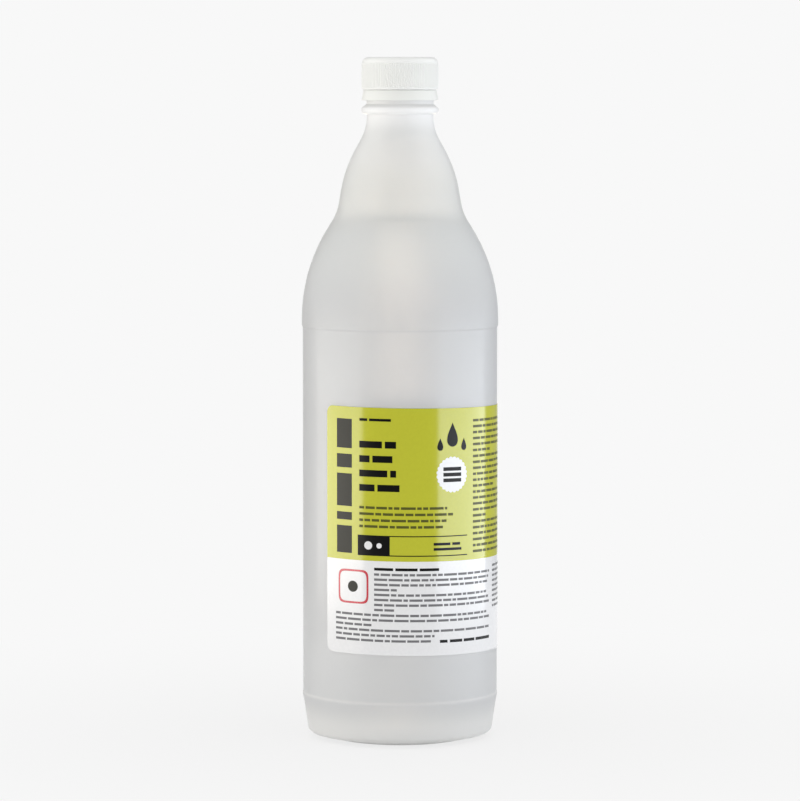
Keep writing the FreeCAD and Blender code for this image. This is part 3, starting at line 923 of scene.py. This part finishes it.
# ------------------------------------------------------------------ closure
@dataclass
class Closure:
    """The screw closure: ribbed skirt, bridges, and a tamper band that flares to its open edge."""

    top: float
    radius: float = 15.6
    bore: float = 14.4
    plate: float = 1.4
    skirt: float = 12.0
    top_round: float = 2.2
    gate_radius: float = 1.3
    gate_depth: float = 0.15
    rib_count: int = 120
    rib_out: float = 0.3
    rib_width: float = 0.5
    rib_tip: float = 0.22
    rib_stop: float = 0.7
    rib_rise: float = 0.2
    rib_start: float = 0.12      # the heights over which a rib starts
    rib_fall: float = 0.5        # and ends
    rib_shoulder: float = 0.4    # the share of the fall that the last two rings of a rib span
    seat_round: float = 0.4
    gate_slope: float = 0.3
    slit: float = 0.15
    bridge_count: int = 12
    bridge_width: float = 0.9
    bridge_depth: float = 0.5
    bridge_root: float = 0.1     # how far it reaches into the skirt and the band
    band_height: float = 4.25
    band_wall: float = 0.75
    band_top: float = 15.1
    band_foot: float = 15.95
    edge: float = 0.18
    foot_edge: float = 0.3
    columns: int = 180

    def __post_init__(self) -> None:
        """Works out the closure's heights from its top."""
        self.seat = self.top - self.plate
        self.slit_top = self.seat - self.skirt
        self.slit_low = self.slit_top - self.slit
        self.band_low = self.slit_low - self.band_height
        self.rib_low = self.slit_top + self.rib_stop
        self.rib_high = self.top - self.top_round - self.rib_rise

    def skirt_corners(self) -> list[Corner]:
        """Gives the corners of the skirt and top plate.

        Returns:
            The corners, from the middle of the plate's underside round to the middle of its top.
        """
        return [
            Corner(0, self.seat),
            Corner(self.bore, self.seat, self.seat_round),
            Corner(self.bore, self.slit_top, self.edge),
            Corner(self.radius, self.slit_top, self.edge),
            Corner(self.radius, self.rib_low),
            Corner(self.radius, self.rib_low + self.rib_start),
            Corner(self.radius, self.rib_high - self.rib_fall),
            Corner(self.radius, self.rib_high - self.rib_shoulder * self.rib_fall),
            Corner(self.radius, self.rib_high),
            Corner(self.radius, self.top, self.top_round),
            Corner(self.gate_radius + self.gate_slope, self.top, self.gate_depth),
            Corner(self.gate_radius, self.top - self.gate_depth, self.gate_depth),
            Corner(0, self.top - self.gate_depth),
        ]

    def rib_relief(self, shape: np.ndarray, angles: np.ndarray) -> np.ndarray:
        """How far the ribs stand out, as a negative distance towards the axis.

        Across a rib the height is 1 within its tip and falls by half a cosine to 0 at its root.
        Along it, it rises evenly over the start and falls by a quarter of a sine over the end.

        Args:
            shape: the outline (rows, 2).
            angles: the angles (columns,), in radians.

        Returns:
            Distances towards the axis (rows, columns).
        """
        pitch = 2 * math.pi / self.rib_count
        off = np.abs((angles / pitch + 0.5) % 1 - 0.5) * pitch * self.radius
        fall = np.clip((off - self.rib_tip / 2) / (self.rib_width / 2 - self.rib_tip / 2), 0, 1)
        across = (1 + np.cos(math.pi * fall)) / 2
        start = np.clip((shape[:, 1] - self.rib_low) / self.rib_start, 0, 1)
        stop = np.clip((self.rib_high - shape[:, 1]) / self.rib_fall, 0, 1)
        outside = shape[:, 0] > (self.bore + self.radius) / 2
        along = outside * start * np.sin(stop * math.pi / 2)
        return -self.rib_out * along[:, None] * across

    def rib_angles(self) -> np.ndarray:
        """Makes angles that meet each rib's middle, tip edges, flanks and roots, and the floor.

        Returns:
            The angles (columns,), in radians.
        """
        pitch = 2 * math.pi / self.rib_count
        tip, root = self.rib_tip / 2, self.rib_width / 2
        flank = np.array([tip, tip + (root - tip) * 0.35, tip + (root - tip) * 0.65, root])
        one_rib = np.concatenate([-flank[::-1], [0.0], flank]) / (pitch * self.radius)
        one_pitch = np.append(one_rib, 0.5)
        return np.sort(((np.arange(self.rib_count)[:, None] + one_pitch) * pitch).ravel())

    def band_corners(self) -> list[Corner]:
        """Gives the corners of the tamper band's section.

        Returns:
            The corners, up its outside and down its inside.
        """
        return [
            Corner(self.band_foot, self.band_low, self.foot_edge),
            Corner(self.band_top, self.slit_low, self.edge),
            Corner(self.band_top - self.band_wall, self.slit_low, self.edge),
            Corner(self.band_foot - self.band_wall, self.band_low, self.edge),
        ]

    def add_bridges(self, skin: Skin) -> None:
        """Adds the bridges, each a small curved block between the skirt and the band.

        A bridge's section is a rectangle of its depth by the slit, carried round by its width.

        Args:
            skin: what the bridges are added to.
        """
        middle = self.band_top - self.band_wall / 2
        inner, outer = middle - self.bridge_depth / 2, middle + self.bridge_depth / 2
        low, high = self.slit_low - self.bridge_root, self.slit_top + self.bridge_root
        section = np.array([[inner, low], [outer, low], [outer, high], [inner, high]])
        half = self.bridge_width / 2 / self.band_top
        places = even_turn(self.bridge_count) + math.pi / self.bridge_count
        ends = places[:, None] + np.array([-half, half])
        blocks = np.stack([turned(section, pair) for pair in ends])
        points = blocks.transpose(0, 2, 1, 3).reshape(-1, 3)
        sides = [[near, near + 4, (near + 1) % 4 + 4, (near + 1) % 4] for near in range(4)]
        box = np.array([[0, 1, 2, 3], [7, 6, 5, 4], *sides])
        faces = (np.arange(self.bridge_count)[:, None, None] * 8 + box).reshape(-1, 4)
        skin.add(points, faces)

    def build(self, finish: Material, band_painted_shade_finish: Material) -> list[Object]:
        """Makes the skirt with its bridges and the tamper band.

        Args:
            finish: the closure's material.
            band_painted_shade_finish: its material on the tamper band, whose white is a touch greyer:
                painted shade.

        Returns:
            The two objects.
        """
        shape = outline(self.skirt_corners(), turn=math.radians(9), run=4.0)
        angles = self.rib_angles()
        skirt = Skin()
        skirt.add_rings(turned(shape, angles, self.rib_relief(shape, angles)))
        self.add_bridges(skirt)
        band = Skin()
        section = outline(self.band_corners(), loop=True, turn=math.radians(20))
        band.add_rings(turned(section, even_turn(self.columns)), loop=True)
        made = [skirt.piece("closure_skirt", [finish]), band.piece("tamper_band", [band_painted_shade_finish])]
        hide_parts("cap")
        return made


# ------------------------------------------------------------------ label
@dataclass(frozen=True)
class TextRows:
    """Rows of plain bars in the place of fine print: where they are on the label, and how tall."""

    left: float
    right: float
    top: float
    rows: int
    pitch: float
    tall: float
    short: dict[int, float] = field(default_factory=dict)  # row number: its right end


@dataclass
class Label:
    """The wrap-round label: film in two colours of ground, with plain shapes printed on it.

    A place on it is (along, up): millimetres round the bottle from the front, and above the lower
    edge. That edge falls a little as it goes round, so height = low - fall * angle + up.
    """

    radius: float = 40.55
    film: float = 0.15
    ink: float = 0.02
    low: float = 38.75
    tall: float = 101.4
    start: float = math.radians(-47.2)
    wrap: float = math.radians(276.0)
    fall: float = 0.62
    corner: float = 3.2
    column: float = 1.4      # width of the film's columns of faces
    white_rows: int = 9      # rows of its points up to the split, and above it
    green_rows: int = 12
    corner_columns: int = 9  # columns of its points in a rounded corner
    shape_run: float = 1.6   # the longest step across a shape of ink
    ground_split: float = 38.7
    bold: float = 2.8        # how tall the bold bars are
    stroke: float = 0.42
    word_span: tuple[float, float] = (1.5, 6.4)  # shortest and longest bar of the fine print
    word_gap: float = 0.62
    ragged: float = 2.0      # the most that a row ends short
    seed: int = 11

    def place(self, along: np.ndarray, up: np.ndarray, out: np.ndarray | float) -> np.ndarray:
        """Puts points of the label's own coordinates on the bottle.

        angle = along / outside radius; x = r sin(angle), y = -r cos(angle).

        Args:
            along: distances round the bottle from the front.
            up: heights above the lower edge.
            out: distances out from the film's outside.

        Returns:
            The points, with one more axis than along.
        """
        outside = self.radius + self.film
        angle = along / outside
        radius = outside + out + 0 * angle
        height = self.low - self.fall * angle + up
        return np.stack([radius * np.sin(angle), -radius * np.cos(angle), height], axis=-1)

    @property
    def ends(self) -> tuple[float, float]:
        """Both ends of the label, along it."""
        outside = self.radius + self.film
        return self.start * outside, (self.start + self.wrap) * outside

    def build_film(self, white: Material, green: Material) -> Object:
        """Makes the film: a closed thin sheet, its outside green above the split and white below.

        Each column runs from the lower to the upper edge. Within a corner's radius c of an end, at
        distance d from it, both edges draw in by c - sqrt(c^2 - (c - d)^2).

        Args:
            white: material of the bare film.
            green: material of the green ground.

        Returns:
            The film's object.
        """
        left, right = self.ends
        bend = self.corner * (1 - np.cos(np.linspace(0, math.pi / 2, self.corner_columns)))
        middle = np.arange(left + self.corner, right - self.corner, self.column)[1:]
        along = np.concatenate([left + bend, middle, right - bend[::-1]])
        near = np.minimum(along - left, right - along)
        drawn = self.corner - np.sqrt(self.corner**2 - np.clip(self.corner - near, 0, None) ** 2)
        share_low = np.linspace(0, 1, self.white_rows)[:, None]
        share_high = np.linspace(0, 1, self.green_rows + 1)[1:, None]
        lower = drawn + (self.ground_split - drawn) * share_low
        upper = self.ground_split + (self.tall - drawn - self.ground_split) * share_high
        up = np.concatenate([lower, upper])
        wide = np.broadcast_to(along, up.shape)
        rows, columns = up.shape
        front = self.place(wide, up, 0.0).reshape(-1, 3)
        back = self.place(wide, up, -self.film).reshape(-1, 3)
        grid = np.arange(rows * columns).reshape(rows, columns)
        quads = np.stack([grid[:-1, :-1], grid[:-1, 1:], grid[1:, 1:], grid[1:, :-1]], axis=2)
        rim = np.concatenate([grid[0], grid[1:, -1], grid[-1, -2::-1], grid[-2:0:-1, 0]])
        after = np.roll(rim, -1)
        size = rows * columns
        faces = np.concatenate([
            quads.reshape(-1, 4),
            quads.reshape(-1, 4)[:, ::-1] + size,
            np.stack([after, rim, rim + size, after + size], axis=1),
        ])
        finish = np.zeros(len(faces), int)
        finish[(self.white_rows - 1) * (columns - 1):(rows - 1) * (columns - 1)] = 1
        skin = Skin()
        skin.add(np.concatenate([front, back]), faces, finish)
        film = skin.piece("label_film", [white, green])
        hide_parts("label")
        return film

    def add_blocks(self, skin: Skin, spans: np.ndarray, segments: int, out: float = 1.0) -> None:
        """Adds plain blocks of ink, each a thin closed slab that follows the film.

        Each block's front is a strip of segments quads, and its back lies just inside the film.

        Args:
            skin: what the blocks are added to.
            spans: left, right, lower and upper edge of each block, (blocks, 4).
            segments: how many parts each block has along the label.
            out: how many inks thick the blocks stand out.
        """
        share = np.linspace(0, 1, segments + 1)
        along = spans[:, :1] + (spans[:, 1:2] - spans[:, :1]) * share
        layers = [
            self.place(along, np.broadcast_to(spans[:, edge:edge + 1], along.shape), lift)
            for lift in (out * self.ink, -self.ink)
            for edge in (2, 3)
        ]
        points = np.stack(layers, axis=1)  # block, (low, high, low back, high back), column
        size = segments + 1
        near = np.arange(segments)
        front = np.stack([near, near + 1, size + near + 1, size + near], axis=1)
        below = np.stack([near, 2 * size + near, 2 * size + near + 1, near + 1], axis=1)
        above = np.stack([size + near + 1, 3 * size + near + 1, 3 * size + near, size + near], axis=1)
        ends = np.array([
            [0, size, 3 * size, 2 * size],
            [segments, 2 * size + segments, 3 * size + segments, size + segments],
        ])
        one = np.concatenate([front, front[:, ::-1] + 2 * size, below, above, ends])
        faces = (np.arange(len(spans))[:, None, None] * 4 * size + one).reshape(-1, 4)
        skin.add(points.reshape(-1, 3), faces)

    def add_shape(
        self, skin: Skin, centre: tuple[float, float], edge: np.ndarray, hole: float = 0.0,
        out: float = 1.0,
    ) -> None:
        """Adds a flat shape of ink that is seen whole from its centre.

        The shape is centre + share * edge, with share from hole to 1: out to the edge behind, and
        back in front. With no hole it is a disc, and with one it is a band.

        Args:
            skin: what the shape is added to.
            centre: its centre on the label.
            edge: its edge from the centre, (columns, 2), counter-clockwise.
            hole: the share at which a band starts, or 0.
            out: how many inks thick it stands out.
        """
        reach = float(np.linalg.norm(edge, axis=1).max()) * (1 - hole)
        steps = max(2, math.ceil(reach / self.shape_run) + 1)
        outward = np.linspace(hole, 1, steps)
        shares = np.concatenate([outward, outward[::-1]])
        lift = np.repeat([-self.ink, out * self.ink], steps)
        flat = np.array(centre) + shares[:, None, None] * edge
        rings = self.place(flat[..., 0], flat[..., 1], lift[:, None])
        skin.add_rings(rings, loop=bool(hole))

    def fine_print(self, blocks: Sequence[TextRows], skin: Skin) -> None:
        """Adds rows of plain bars, as long as words and all of one height.

        A bar's length is drawn evenly between the shortest and the longest word. It starts at the
        row's left plus all the bars and equal gaps before it, and row n lies n pitches below the
        top one. A bar that would pass the row's end, which is drawn too, is cut off there, and it
        is left out if less than half the shortest word would be left.

        Args:
            blocks: the rows to fill.
            skin: what the bars are added to.
        """
        draw = np.random.default_rng(self.seed)
        shortest, longest = self.word_span
        for rows in blocks:
            most = math.ceil((rows.right - rows.left) / (shortest + self.word_gap))
            long = draw.uniform(shortest, longest, (rows.rows, most))
            left = rows.left + np.cumsum(long + self.word_gap, axis=1) - long - self.word_gap
            ends = np.array([rows.short.get(row, rows.right) for row in range(rows.rows)])
            ends = ends - draw.uniform(0, self.ragged, rows.rows)
            centre = rows.top - np.arange(rows.rows) * rows.pitch
            spans = np.stack(
                np.broadcast_arrays(
                    left, np.minimum(left + long, ends[:, None]),
                    centre[:, None] - rows.tall / 2, centre[:, None] + rows.tall / 2,
                ), axis=2,
            )
            self.add_blocks(skin, spans[left < ends[:, None] - shortest / 2], segments=4)

    def build_print(self, inks: dict[Ink, Material]) -> list[Object]:
        """Makes what is printed on the film, one piece for each ink and job.

        Args:
            inks: the materials by ink.

        Returns:
            The objects.
        """
        made = [
            *self.side_bar(inks[Ink.SLATE]),
            *self.headlines(inks[Ink.BLACK]),
            *self.small_rows(inks[Ink.TEXT_ON_GREEN], inks[Ink.TEXT_ON_WHITE]),
            *self.volume_box(inks[Ink.BLACK], inks[Ink.WHITE]),
            *self.emblem(inks[Ink.BLACK]),
            *self.badge(inks[Ink.WHITE], inks[Ink.BLACK]),
            *self.square_mark(inks[Ink.RED], inks[Ink.SLATE]),
        ]
        return made

    def side_bar(self, slate: Material) -> list[Object]:
        """Makes the upright bar at the label's first end: five plain lengths of one broad stripe.

        Args:
            slate: the dark grey ink.

        Returns:
            The bar's object.
        """
        skin = Skin()
        left, right = -27.9, -20.5
        lengths = np.array([[41.4, 52.6], [55.0, 58.2], [60.6, 74.0], [76.4, 82.0], [84.4, 96.4]])
        sides = np.broadcast_to([left, right], lengths.shape)
        self.add_blocks(skin, np.concatenate([sides, lengths], axis=1), segments=6)
        return [skin.piece("side_bar", [slate])]

    def headlines(self, black: Material) -> list[Object]:
        """Makes four bold rows of bars in place of the headline, and the smaller ones round them.

        Args:
            black: the black ink.

        Returns:
            The bars' object.
        """
        skin = Skin()
        rows = [  # height of the row's middle, how tall it is, and both ends of each bar
            (86.3, self.bold, -17.1, -7.4, -6.2, -1.6),
            (80.4, self.bold, -17.1, -12.6, -11.4, -3.1),
            (74.5, self.bold, -17.1, -5.2, -4.0, -1.6),
            (68.6, self.bold, -17.1, -10.5, -9.3, -0.2),
            (96.4, 1.1, -17.0, -13.6, -12.8, -3.7),
            (45.8, 1.1, 14.0, 21.6, 22.5, 26.4),
            (43.7, 1.1, 14.0, 27.1),
            (35.4, 1.15, -10.7, -2.8, -1.9, 7.2, 8.1, 16.4),
            (5.8, 1.2, 16.8, 20.3, 21.4, 27.6, 28.4, 34.6, 35.4, 45.9),
        ]
        spans = [
            (left, right, up - tall / 2, up + tall / 2)
            for up, tall, *ends in rows
            for left, right in zip(ends[::2], ends[1::2])
        ]
        self.add_blocks(skin, np.array(spans), segments=8)
        return [skin.piece("bold_bars", [black])]

    def small_rows(self, on_green: Material, on_white: Material) -> list[Object]:
        """Makes the fine print: a note and columns on the green, and paragraphs on the white.

        Args:
            on_green: its ink on the green ground.
            on_white: its ink on the white ground.

        Returns:
            The two objects.
        """
        upper, lower = Skin(), Skin()
        column = {"rows": 23, "pitch": 2.45, "top": 96.0, "tall": 1.05}
        white = {"pitch": 2.1, "tall": 0.95}
        self.fine_print([
            TextRows(-17.1, 24.8, 60.5, 4, 2.56, 1.05, {0: 20.6, 2: 21.6, 3: 18.8}),
            TextRows(33.6, 61.0, short={5: 48, 11: 52, 16: 44}, **column),
            TextRows(65.0, 92.0, short={6: 80, 14: 74}, **column),
            TextRows(96.0, 123.0, short={8: 110, 22: 105}, **column),
        ], upper)
        self.fine_print([
            TextRows(-10.7, 46.0, 33.2, 8, 2.08, 0.95, {3: -1.2, 7: -1.6}),
            TextRows(-28.5, 46.0, 16.5, 4, short={2: -9.1}, **white),
            TextRows(-28.5, 14.6, 8.1, 2, **white),
            TextRows(49.3, 92.0, 35.1, 9, short={8: 66.0}, **white),
            TextRows(96.0, 123.0, 35.1, 14, short={13: 110.0}, **white),
        ], lower)
        return [
            upper.piece("fine_print_green", [on_green]), lower.piece("fine_print_white", [on_white])
        ]

    def volume_box(self, black: Material, white: Material) -> list[Object]:
        """Makes a black box with two plain white discs in it, and two rules that run on from it.

        Args:
            black: the black ink.
            white: the white ink.

        Returns:
            The two objects.
        """
        box, marks = Skin(), Skin()
        left, right, end = -17.8, -4.2, 30.2
        low, high = 40.8, 49.2
        self.add_blocks(box, np.array([[left, right, low, high]]), segments=10)
        rules = [[right, end, high - self.stroke, high], [right, end, low, low + self.stroke]]
        self.add_blocks(box, np.array(rules), segments=24)
        for centre, radius in (((-13.2, 45.0), 1.7), ((-8.6, 45.0), 1.1)):
            self.add_shape(marks, centre, radius * circle(32), out=2.0)
        return [box.piece("volume_box", [black]), marks.piece("volume_marks", [white])]

    def emblem(self, black: Material) -> list[Object]:
        """Makes three plain drops, the middle one large.

        A drop's edge is (sin(t) * sin(t / 2)^1.5, 1.35 cos(t)), t round a full turn, times its size.

        Args:
            black: the black ink.

        Returns:
            The drops' object.
        """
        skin = Skin()
        ring = even_turn(48)
        drop = np.stack([np.sin(ring) * np.sin(ring / 2) ** 1.5, 1.35 * np.cos(ring)], axis=1)[::-1]
        for centre, size in (((22.6, 90.6), 3.7), ((16.9, 86.6), 1.9), ((28.3, 86.6), 1.9)):
            self.add_shape(skin, centre, size * drop)
        return [skin.piece("drop_emblem", [black])]

    def badge(self, white: Material, black: Material) -> list[Object]:
        """Makes a white badge with a scalloped edge and three plain bars.

        The edge's radius is the badge's less a scallop's depth times 1 - |sin(12 * angle)|.

        Args:
            white: the white ink.
            black: the black ink.

        Returns:
            The two objects.
        """
        seal, bars = Skin(), Skin()
        badge, scallop, columns = 7.4, 0.5, 192
        across, up = 22.6, 74.2
        half_long, half_tall, pitch = 4.3, 0.75, 2.3
        radius = badge - scallop * (1 - np.abs(np.sin(12 * even_turn(columns))))
        self.add_shape(seal, (across, up), circle(columns) * radius[:, None])
        spans = [
            (across - half_long, across + half_long, middle - half_tall, middle + half_tall)
            for middle in (up + pitch, up, up - pitch)
        ]
        self.add_blocks(bars, np.array(spans), segments=6, out=2.0)
        return [seal.piece("scalloped_badge", [white]), bars.piece("badge_bars", [black])]

    def square_mark(self, red: Material, slate: Material) -> list[Object]:
        """Makes a rounded square drawn in red, with a plain disc in it.

        The square's edge has the radius half / (|cos|^6 + |sin|^6)^(1/6).

        Args:
            red: the red ink.
            slate: the dark grey ink.

        Returns:
            The two objects.
        """
        square, disc = Skin(), Skin()
        centre, half, hole, disc_radius = (-20.1, 27.8), 7.0, 0.88, 2.3
        ring = circle(96)
        size = (np.abs(ring) ** 6).sum(axis=1) ** (-1 / 6)
        self.add_shape(square, centre, half * size[:, None] * ring, hole=hole)
        self.add_shape(disc, centre, disc_radius * ring)
        return [square.piece("square_frame", [red]), disc.piece("square_disc", [slate])]


# ------------------------------------------------------------------ studio
@dataclass(frozen=True)
class Softbox:
    """A soft lamp that faces the bottle: where it stands, its size and how bright its face is.

    The azimuth is in degrees, and a face with a brightness of 1 is plain white.
    """

    name: str
    azimuth: float
    away: float
    height: float
    wide: float
    tall: float
    brightness: float
    colour: str = "#FFFFFF"

    def build(self, aim: Vector) -> None:
        """Makes the lamp; its power is brightness * pi * area, so that its face is that bright.

        Args:
            aim: the point that it faces.
        """
        turn = math.radians(self.azimuth)
        spot = Vector((self.away * math.sin(turn), -self.away * math.cos(turn), self.height))
        lamp = bpy.data.lights.new(self.name, "AREA")
        lamp.shape = "RECTANGLE"
        lamp.size, lamp.size_y = self.wide, self.tall
        lamp.energy = self.brightness * math.pi * self.wide * self.tall
        lamp.color = linear(self.colour)[:3]
        holder = bpy.data.objects.new(self.name, lamp)
        holder.location = spot
        holder.rotation_euler = (aim - spot).to_track_quat("-Z", "Y").to_euler()
        holder.visible_camera = False
        bpy.context.scene.collection.objects.link(holder)


@dataclass
class Studio:
    """A white studio: pale floor, white behind, dim above, three soft lamps and the camera.

    Each span is for one part of the direction that a ray takes. What it names is absent up to the
    span's first value and full from its second.
    """

    backdrop: float = 0.939
    backdrop_span: tuple[float, float] = (0.9, 0.985)  # y: the white backdrop
    wall_span: tuple[float, float] = (0.4, 0.75)       # |x|: the white side walls
    rail_span: tuple[float, float] = (-0.02, 0.04)     # z: the walls again, above their lower edge
    dusk_span: tuple[float, float] = (0.0, 0.8)        # y: the dim light behind
    dusk: float = 0.3
    surround: float = 0.08
    fill: float = 0.56
    front_share: float = 0.45     # how much more of the fill comes from the front
    top_share: float = 0.7        # and from above
    floor_radius: float = 0.5
    floor_white: float = 0.88
    shadow_share: float = 0.2
    shadow_reach: float = 0.35
    camera_away: float = 1.68317
    camera_height: float = 0.26742
    camera_tilt: float = math.radians(4.3194)
    camera_lens: float = 182.47
    sensor: float = 36.0

    def largest(self, tree: NodeTree, first: NodeSocket, *others: NodeSocket) -> NodeSocket:
        """The largest of some values, taken two at a time.

        Args:
            tree: the node tree.
            first: one value.
            others: the others.

        Returns:
            The socket that gives the largest.
        """
        for other in others:
            more = add_node(tree, "ShaderNodeMath", {"operation": "MAXIMUM"}, {0: first, 1: other})
            first = more.outputs[0]
        return first

    def build_world(self) -> None:
        """The surroundings: even fill for surfaces, and to the eye a white backdrop in a dim room.

        In a direction whose parts are y towards the back and z upwards, a matt surface meets
        fill * (1 - front_share * y + top_share * z). A mirroring one meets the brightest of the
        backdrop, the side walls above their lower edge and the dusk, from surround to backdrop.
        The eye meets the plain backdrop, through the wall too.
        """
        world = bpy.data.worlds.new("studio")
        bpy.context.scene.world = world
        world.use_nodes = True
        tree = world.node_tree
        tree.nodes.clear()
        direction = add_node(tree, "ShaderNodeTexCoord").outputs["Generated"]
        towards = add_node(tree, "ShaderNodeSeparateXYZ", links={0: direction}).outputs
        behind = towards["Y"]
        beside = add_node(tree, "ShaderNodeMath", {"operation": "ABSOLUTE"}, {0: towards["X"]})
        parts = [
            add_node(
                tree, "ShaderNodeMapRange",
                {"interpolation_type": "SMOOTHSTEP", "From Min": span[0], "From Max": span[1]},
                {"Value": source},
            ).outputs[0]
            for span, source in (
                (self.backdrop_span, behind), (self.wall_span, beside.outputs[0]),
                (self.rail_span, towards["Z"]), (self.dusk_span, behind),
            )
        ]
        walls = add_node(tree, "ShaderNodeMath", {"operation": "MULTIPLY"}, {0: parts[1], 1: parts[2]})
        dusk = add_node(tree, "ShaderNodeMath", {"operation": "MULTIPLY", 1: self.dusk}, {0: parts[3]})
        shade = add_node(
            tree, "ShaderNodeMapRange", {"To Min": self.surround, "To Max": self.backdrop},
            {"Value": self.largest(tree, parts[0], walls.outputs[0], dusk.outputs[0])},
        )
        facing = add_node(
            tree, "ShaderNodeMath",
            {"operation": "MULTIPLY_ADD", 1: -self.fill * self.front_share, 2: self.fill}, {0: behind},
        )
        even = add_node(
            tree, "ShaderNodeMath", {"operation": "MULTIPLY_ADD", 1: self.fill * self.top_share},
            {0: towards["Z"], 2: facing.outputs[0]},
        )
        path = add_node(tree, "ShaderNodeLightPath").outputs
        mirrored = add_node(
            tree, "ShaderNodeMix", {"data_type": "FLOAT"},
            {"Factor": path["Is Glossy Ray"], "A": even.outputs[0], "B": shade.outputs[0]},
        )
        through = self.largest(tree, path["Is Camera Ray"], path["Is Transmission Ray"])
        level = add_node(
            tree, "ShaderNodeMix", {"data_type": "FLOAT", "B": self.backdrop},
            {"Factor": through, "A": mirrored.outputs[0]},
        )
        glow = add_node(
            tree, "ShaderNodeBackground", {"Color": (1, 1, 1, 1)}, {"Strength": level.outputs[0]}
        )
        output = add_node(tree, "ShaderNodeOutputWorld")
        tree.links.new(glow.outputs[0], output.inputs["Surface"])

    def build_floor(self) -> None:
        """The floor: to the eye the backdrop's white, with a share of true shade near the bottle.

        That share is shadow_share at the middle and fades smoothly to 0 at shadow_reach.
        """
        material, tree, surface = new_material("pale_floor")
        place = add_node(tree, "ShaderNodeTexCoord").outputs["Object"]
        away = add_node(tree, "ShaderNodeVectorMath", {"operation": "LENGTH"}, {0: place})
        shaded = add_node(
            tree, "ShaderNodeMapRange",
            {"interpolation_type": "SMOOTHSTEP", "From Min": 0.0, "From Max": self.shadow_reach,
             "To Min": 1 - self.shadow_share, "To Max": 1.0}, {"Value": away.outputs["Value"]},
        )
        path = add_node(tree, "ShaderNodeLightPath").outputs
        rays = ("Is Camera Ray", "Is Glossy Ray", "Is Transmission Ray")
        seen = self.largest(tree, *(path[ray] for ray in rays))
        share = add_node(
            tree, "ShaderNodeMath", {"operation": "MULTIPLY"}, {0: shaded.outputs[0], 1: seen}
        )
        matt = add_node(tree, "ShaderNodeBsdfDiffuse", {"Color": (*[self.floor_white] * 3, 1)})
        plain = add_node(tree, "ShaderNodeEmission", {"Color": (1, 1, 1, 1), "Strength": self.backdrop})
        both = add_node(
            tree, "ShaderNodeMixShader",
            links={0: share.outputs[0], 1: matt.outputs[0], 2: plain.outputs[0]},
        )
        tree.links.new(both.outputs[0], surface)
        turn = even_turn(96)
        rim = self.floor_radius * np.stack([np.sin(turn), -np.cos(turn), 0 * turn], axis=1)
        mesh = bpy.data.meshes.new("floor")
        mesh.from_pydata(rim.tolist(), [], [list(range(len(turn)))])
        mesh.materials.append(material)
        floor = bpy.data.objects.new("floor", mesh)
        bpy.context.scene.collection.objects.link(floor)
        floor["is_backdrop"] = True

    def build_lamps(self, aim: Vector) -> None:
        """Makes the three soft lamps: one at each side, and a narrow warm one behind.

        Args:
            aim: the point that they face.
        """
        for lamp in (
            Softbox("left_softbox", -79, 0.85, 0.01, 1.2, 0.18, 5.4, "#FFFBF4"),
            Softbox("right_softbox", 81, 0.85, 0.01, 1.25, 0.18, 5.4, "#F0F6FF"),
            Softbox("back_softbox", 180, 0.9, -0.02, 0.22, 0.48, 3.1, "#FFE6CF"),
        ):
            lamp.build(aim)

    def build_camera(self) -> None:
        """The camera, in front of the bottle and tilted a little down."""
        scene = bpy.context.scene
        lens = bpy.data.cameras.new("camera")
        lens.sensor_fit = "HORIZONTAL"
        lens.sensor_width = self.sensor
        lens.lens = self.camera_lens
        lens.clip_start, lens.clip_end = 0.05, 20
        camera = bpy.data.objects.new("camera", lens)
        camera.location = (0, -self.camera_away, self.camera_height)
        camera.rotation_euler = (math.pi / 2 - self.camera_tilt, 0, 0)
        scene.collection.objects.link(camera)
        scene.camera = camera
        scene.view_settings.view_transform = "Standard"

    def build(self, aim: Vector) -> None:
        """Makes the whole studio.

        Args:
            aim: the point that the lamps face.
        """
        self.build_world()
        self.build_floor()
        self.build_lamps(aim)
        self.build_camera()


def main() -> None:
    """Makes the studio and the bottle's pieces."""
    logging.basicConfig(level=logging.INFO, format="%(name)s %(message)s")
    cad_box = [list(corner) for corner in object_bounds()]
    low, high = (Vector(corner) for corner in cad_box)
    bottle = BlownBottle()
    polyethylene = NaturalPolyethylene()
    bottle.build(polyethylene.material(), polyethylene.inner_face())
    Vinegar(bottle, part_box("vinegar")[1].z / MM).build(ClearVinegar().material())
    # the tamper band's white is a touch greyer: painted shade against the extra light it gets from
    # above
    closure, thin = MouldedClosure(), MouldedClosure("white_polyethylene_band_painted_shade", "#EFF0EC")
    Closure(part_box("cap")[1].z / MM).build(closure.material(), thin.material())
    inks = {ink: PrintedFilm(ink).material() for ink in Ink}
    label = Label()
    label.build_film(inks[Ink.FILM], inks[Ink.GREEN])
    label.build_print(inks)
    Studio().build((low + high) / 2)


if __name__ == "__main__":
    main()
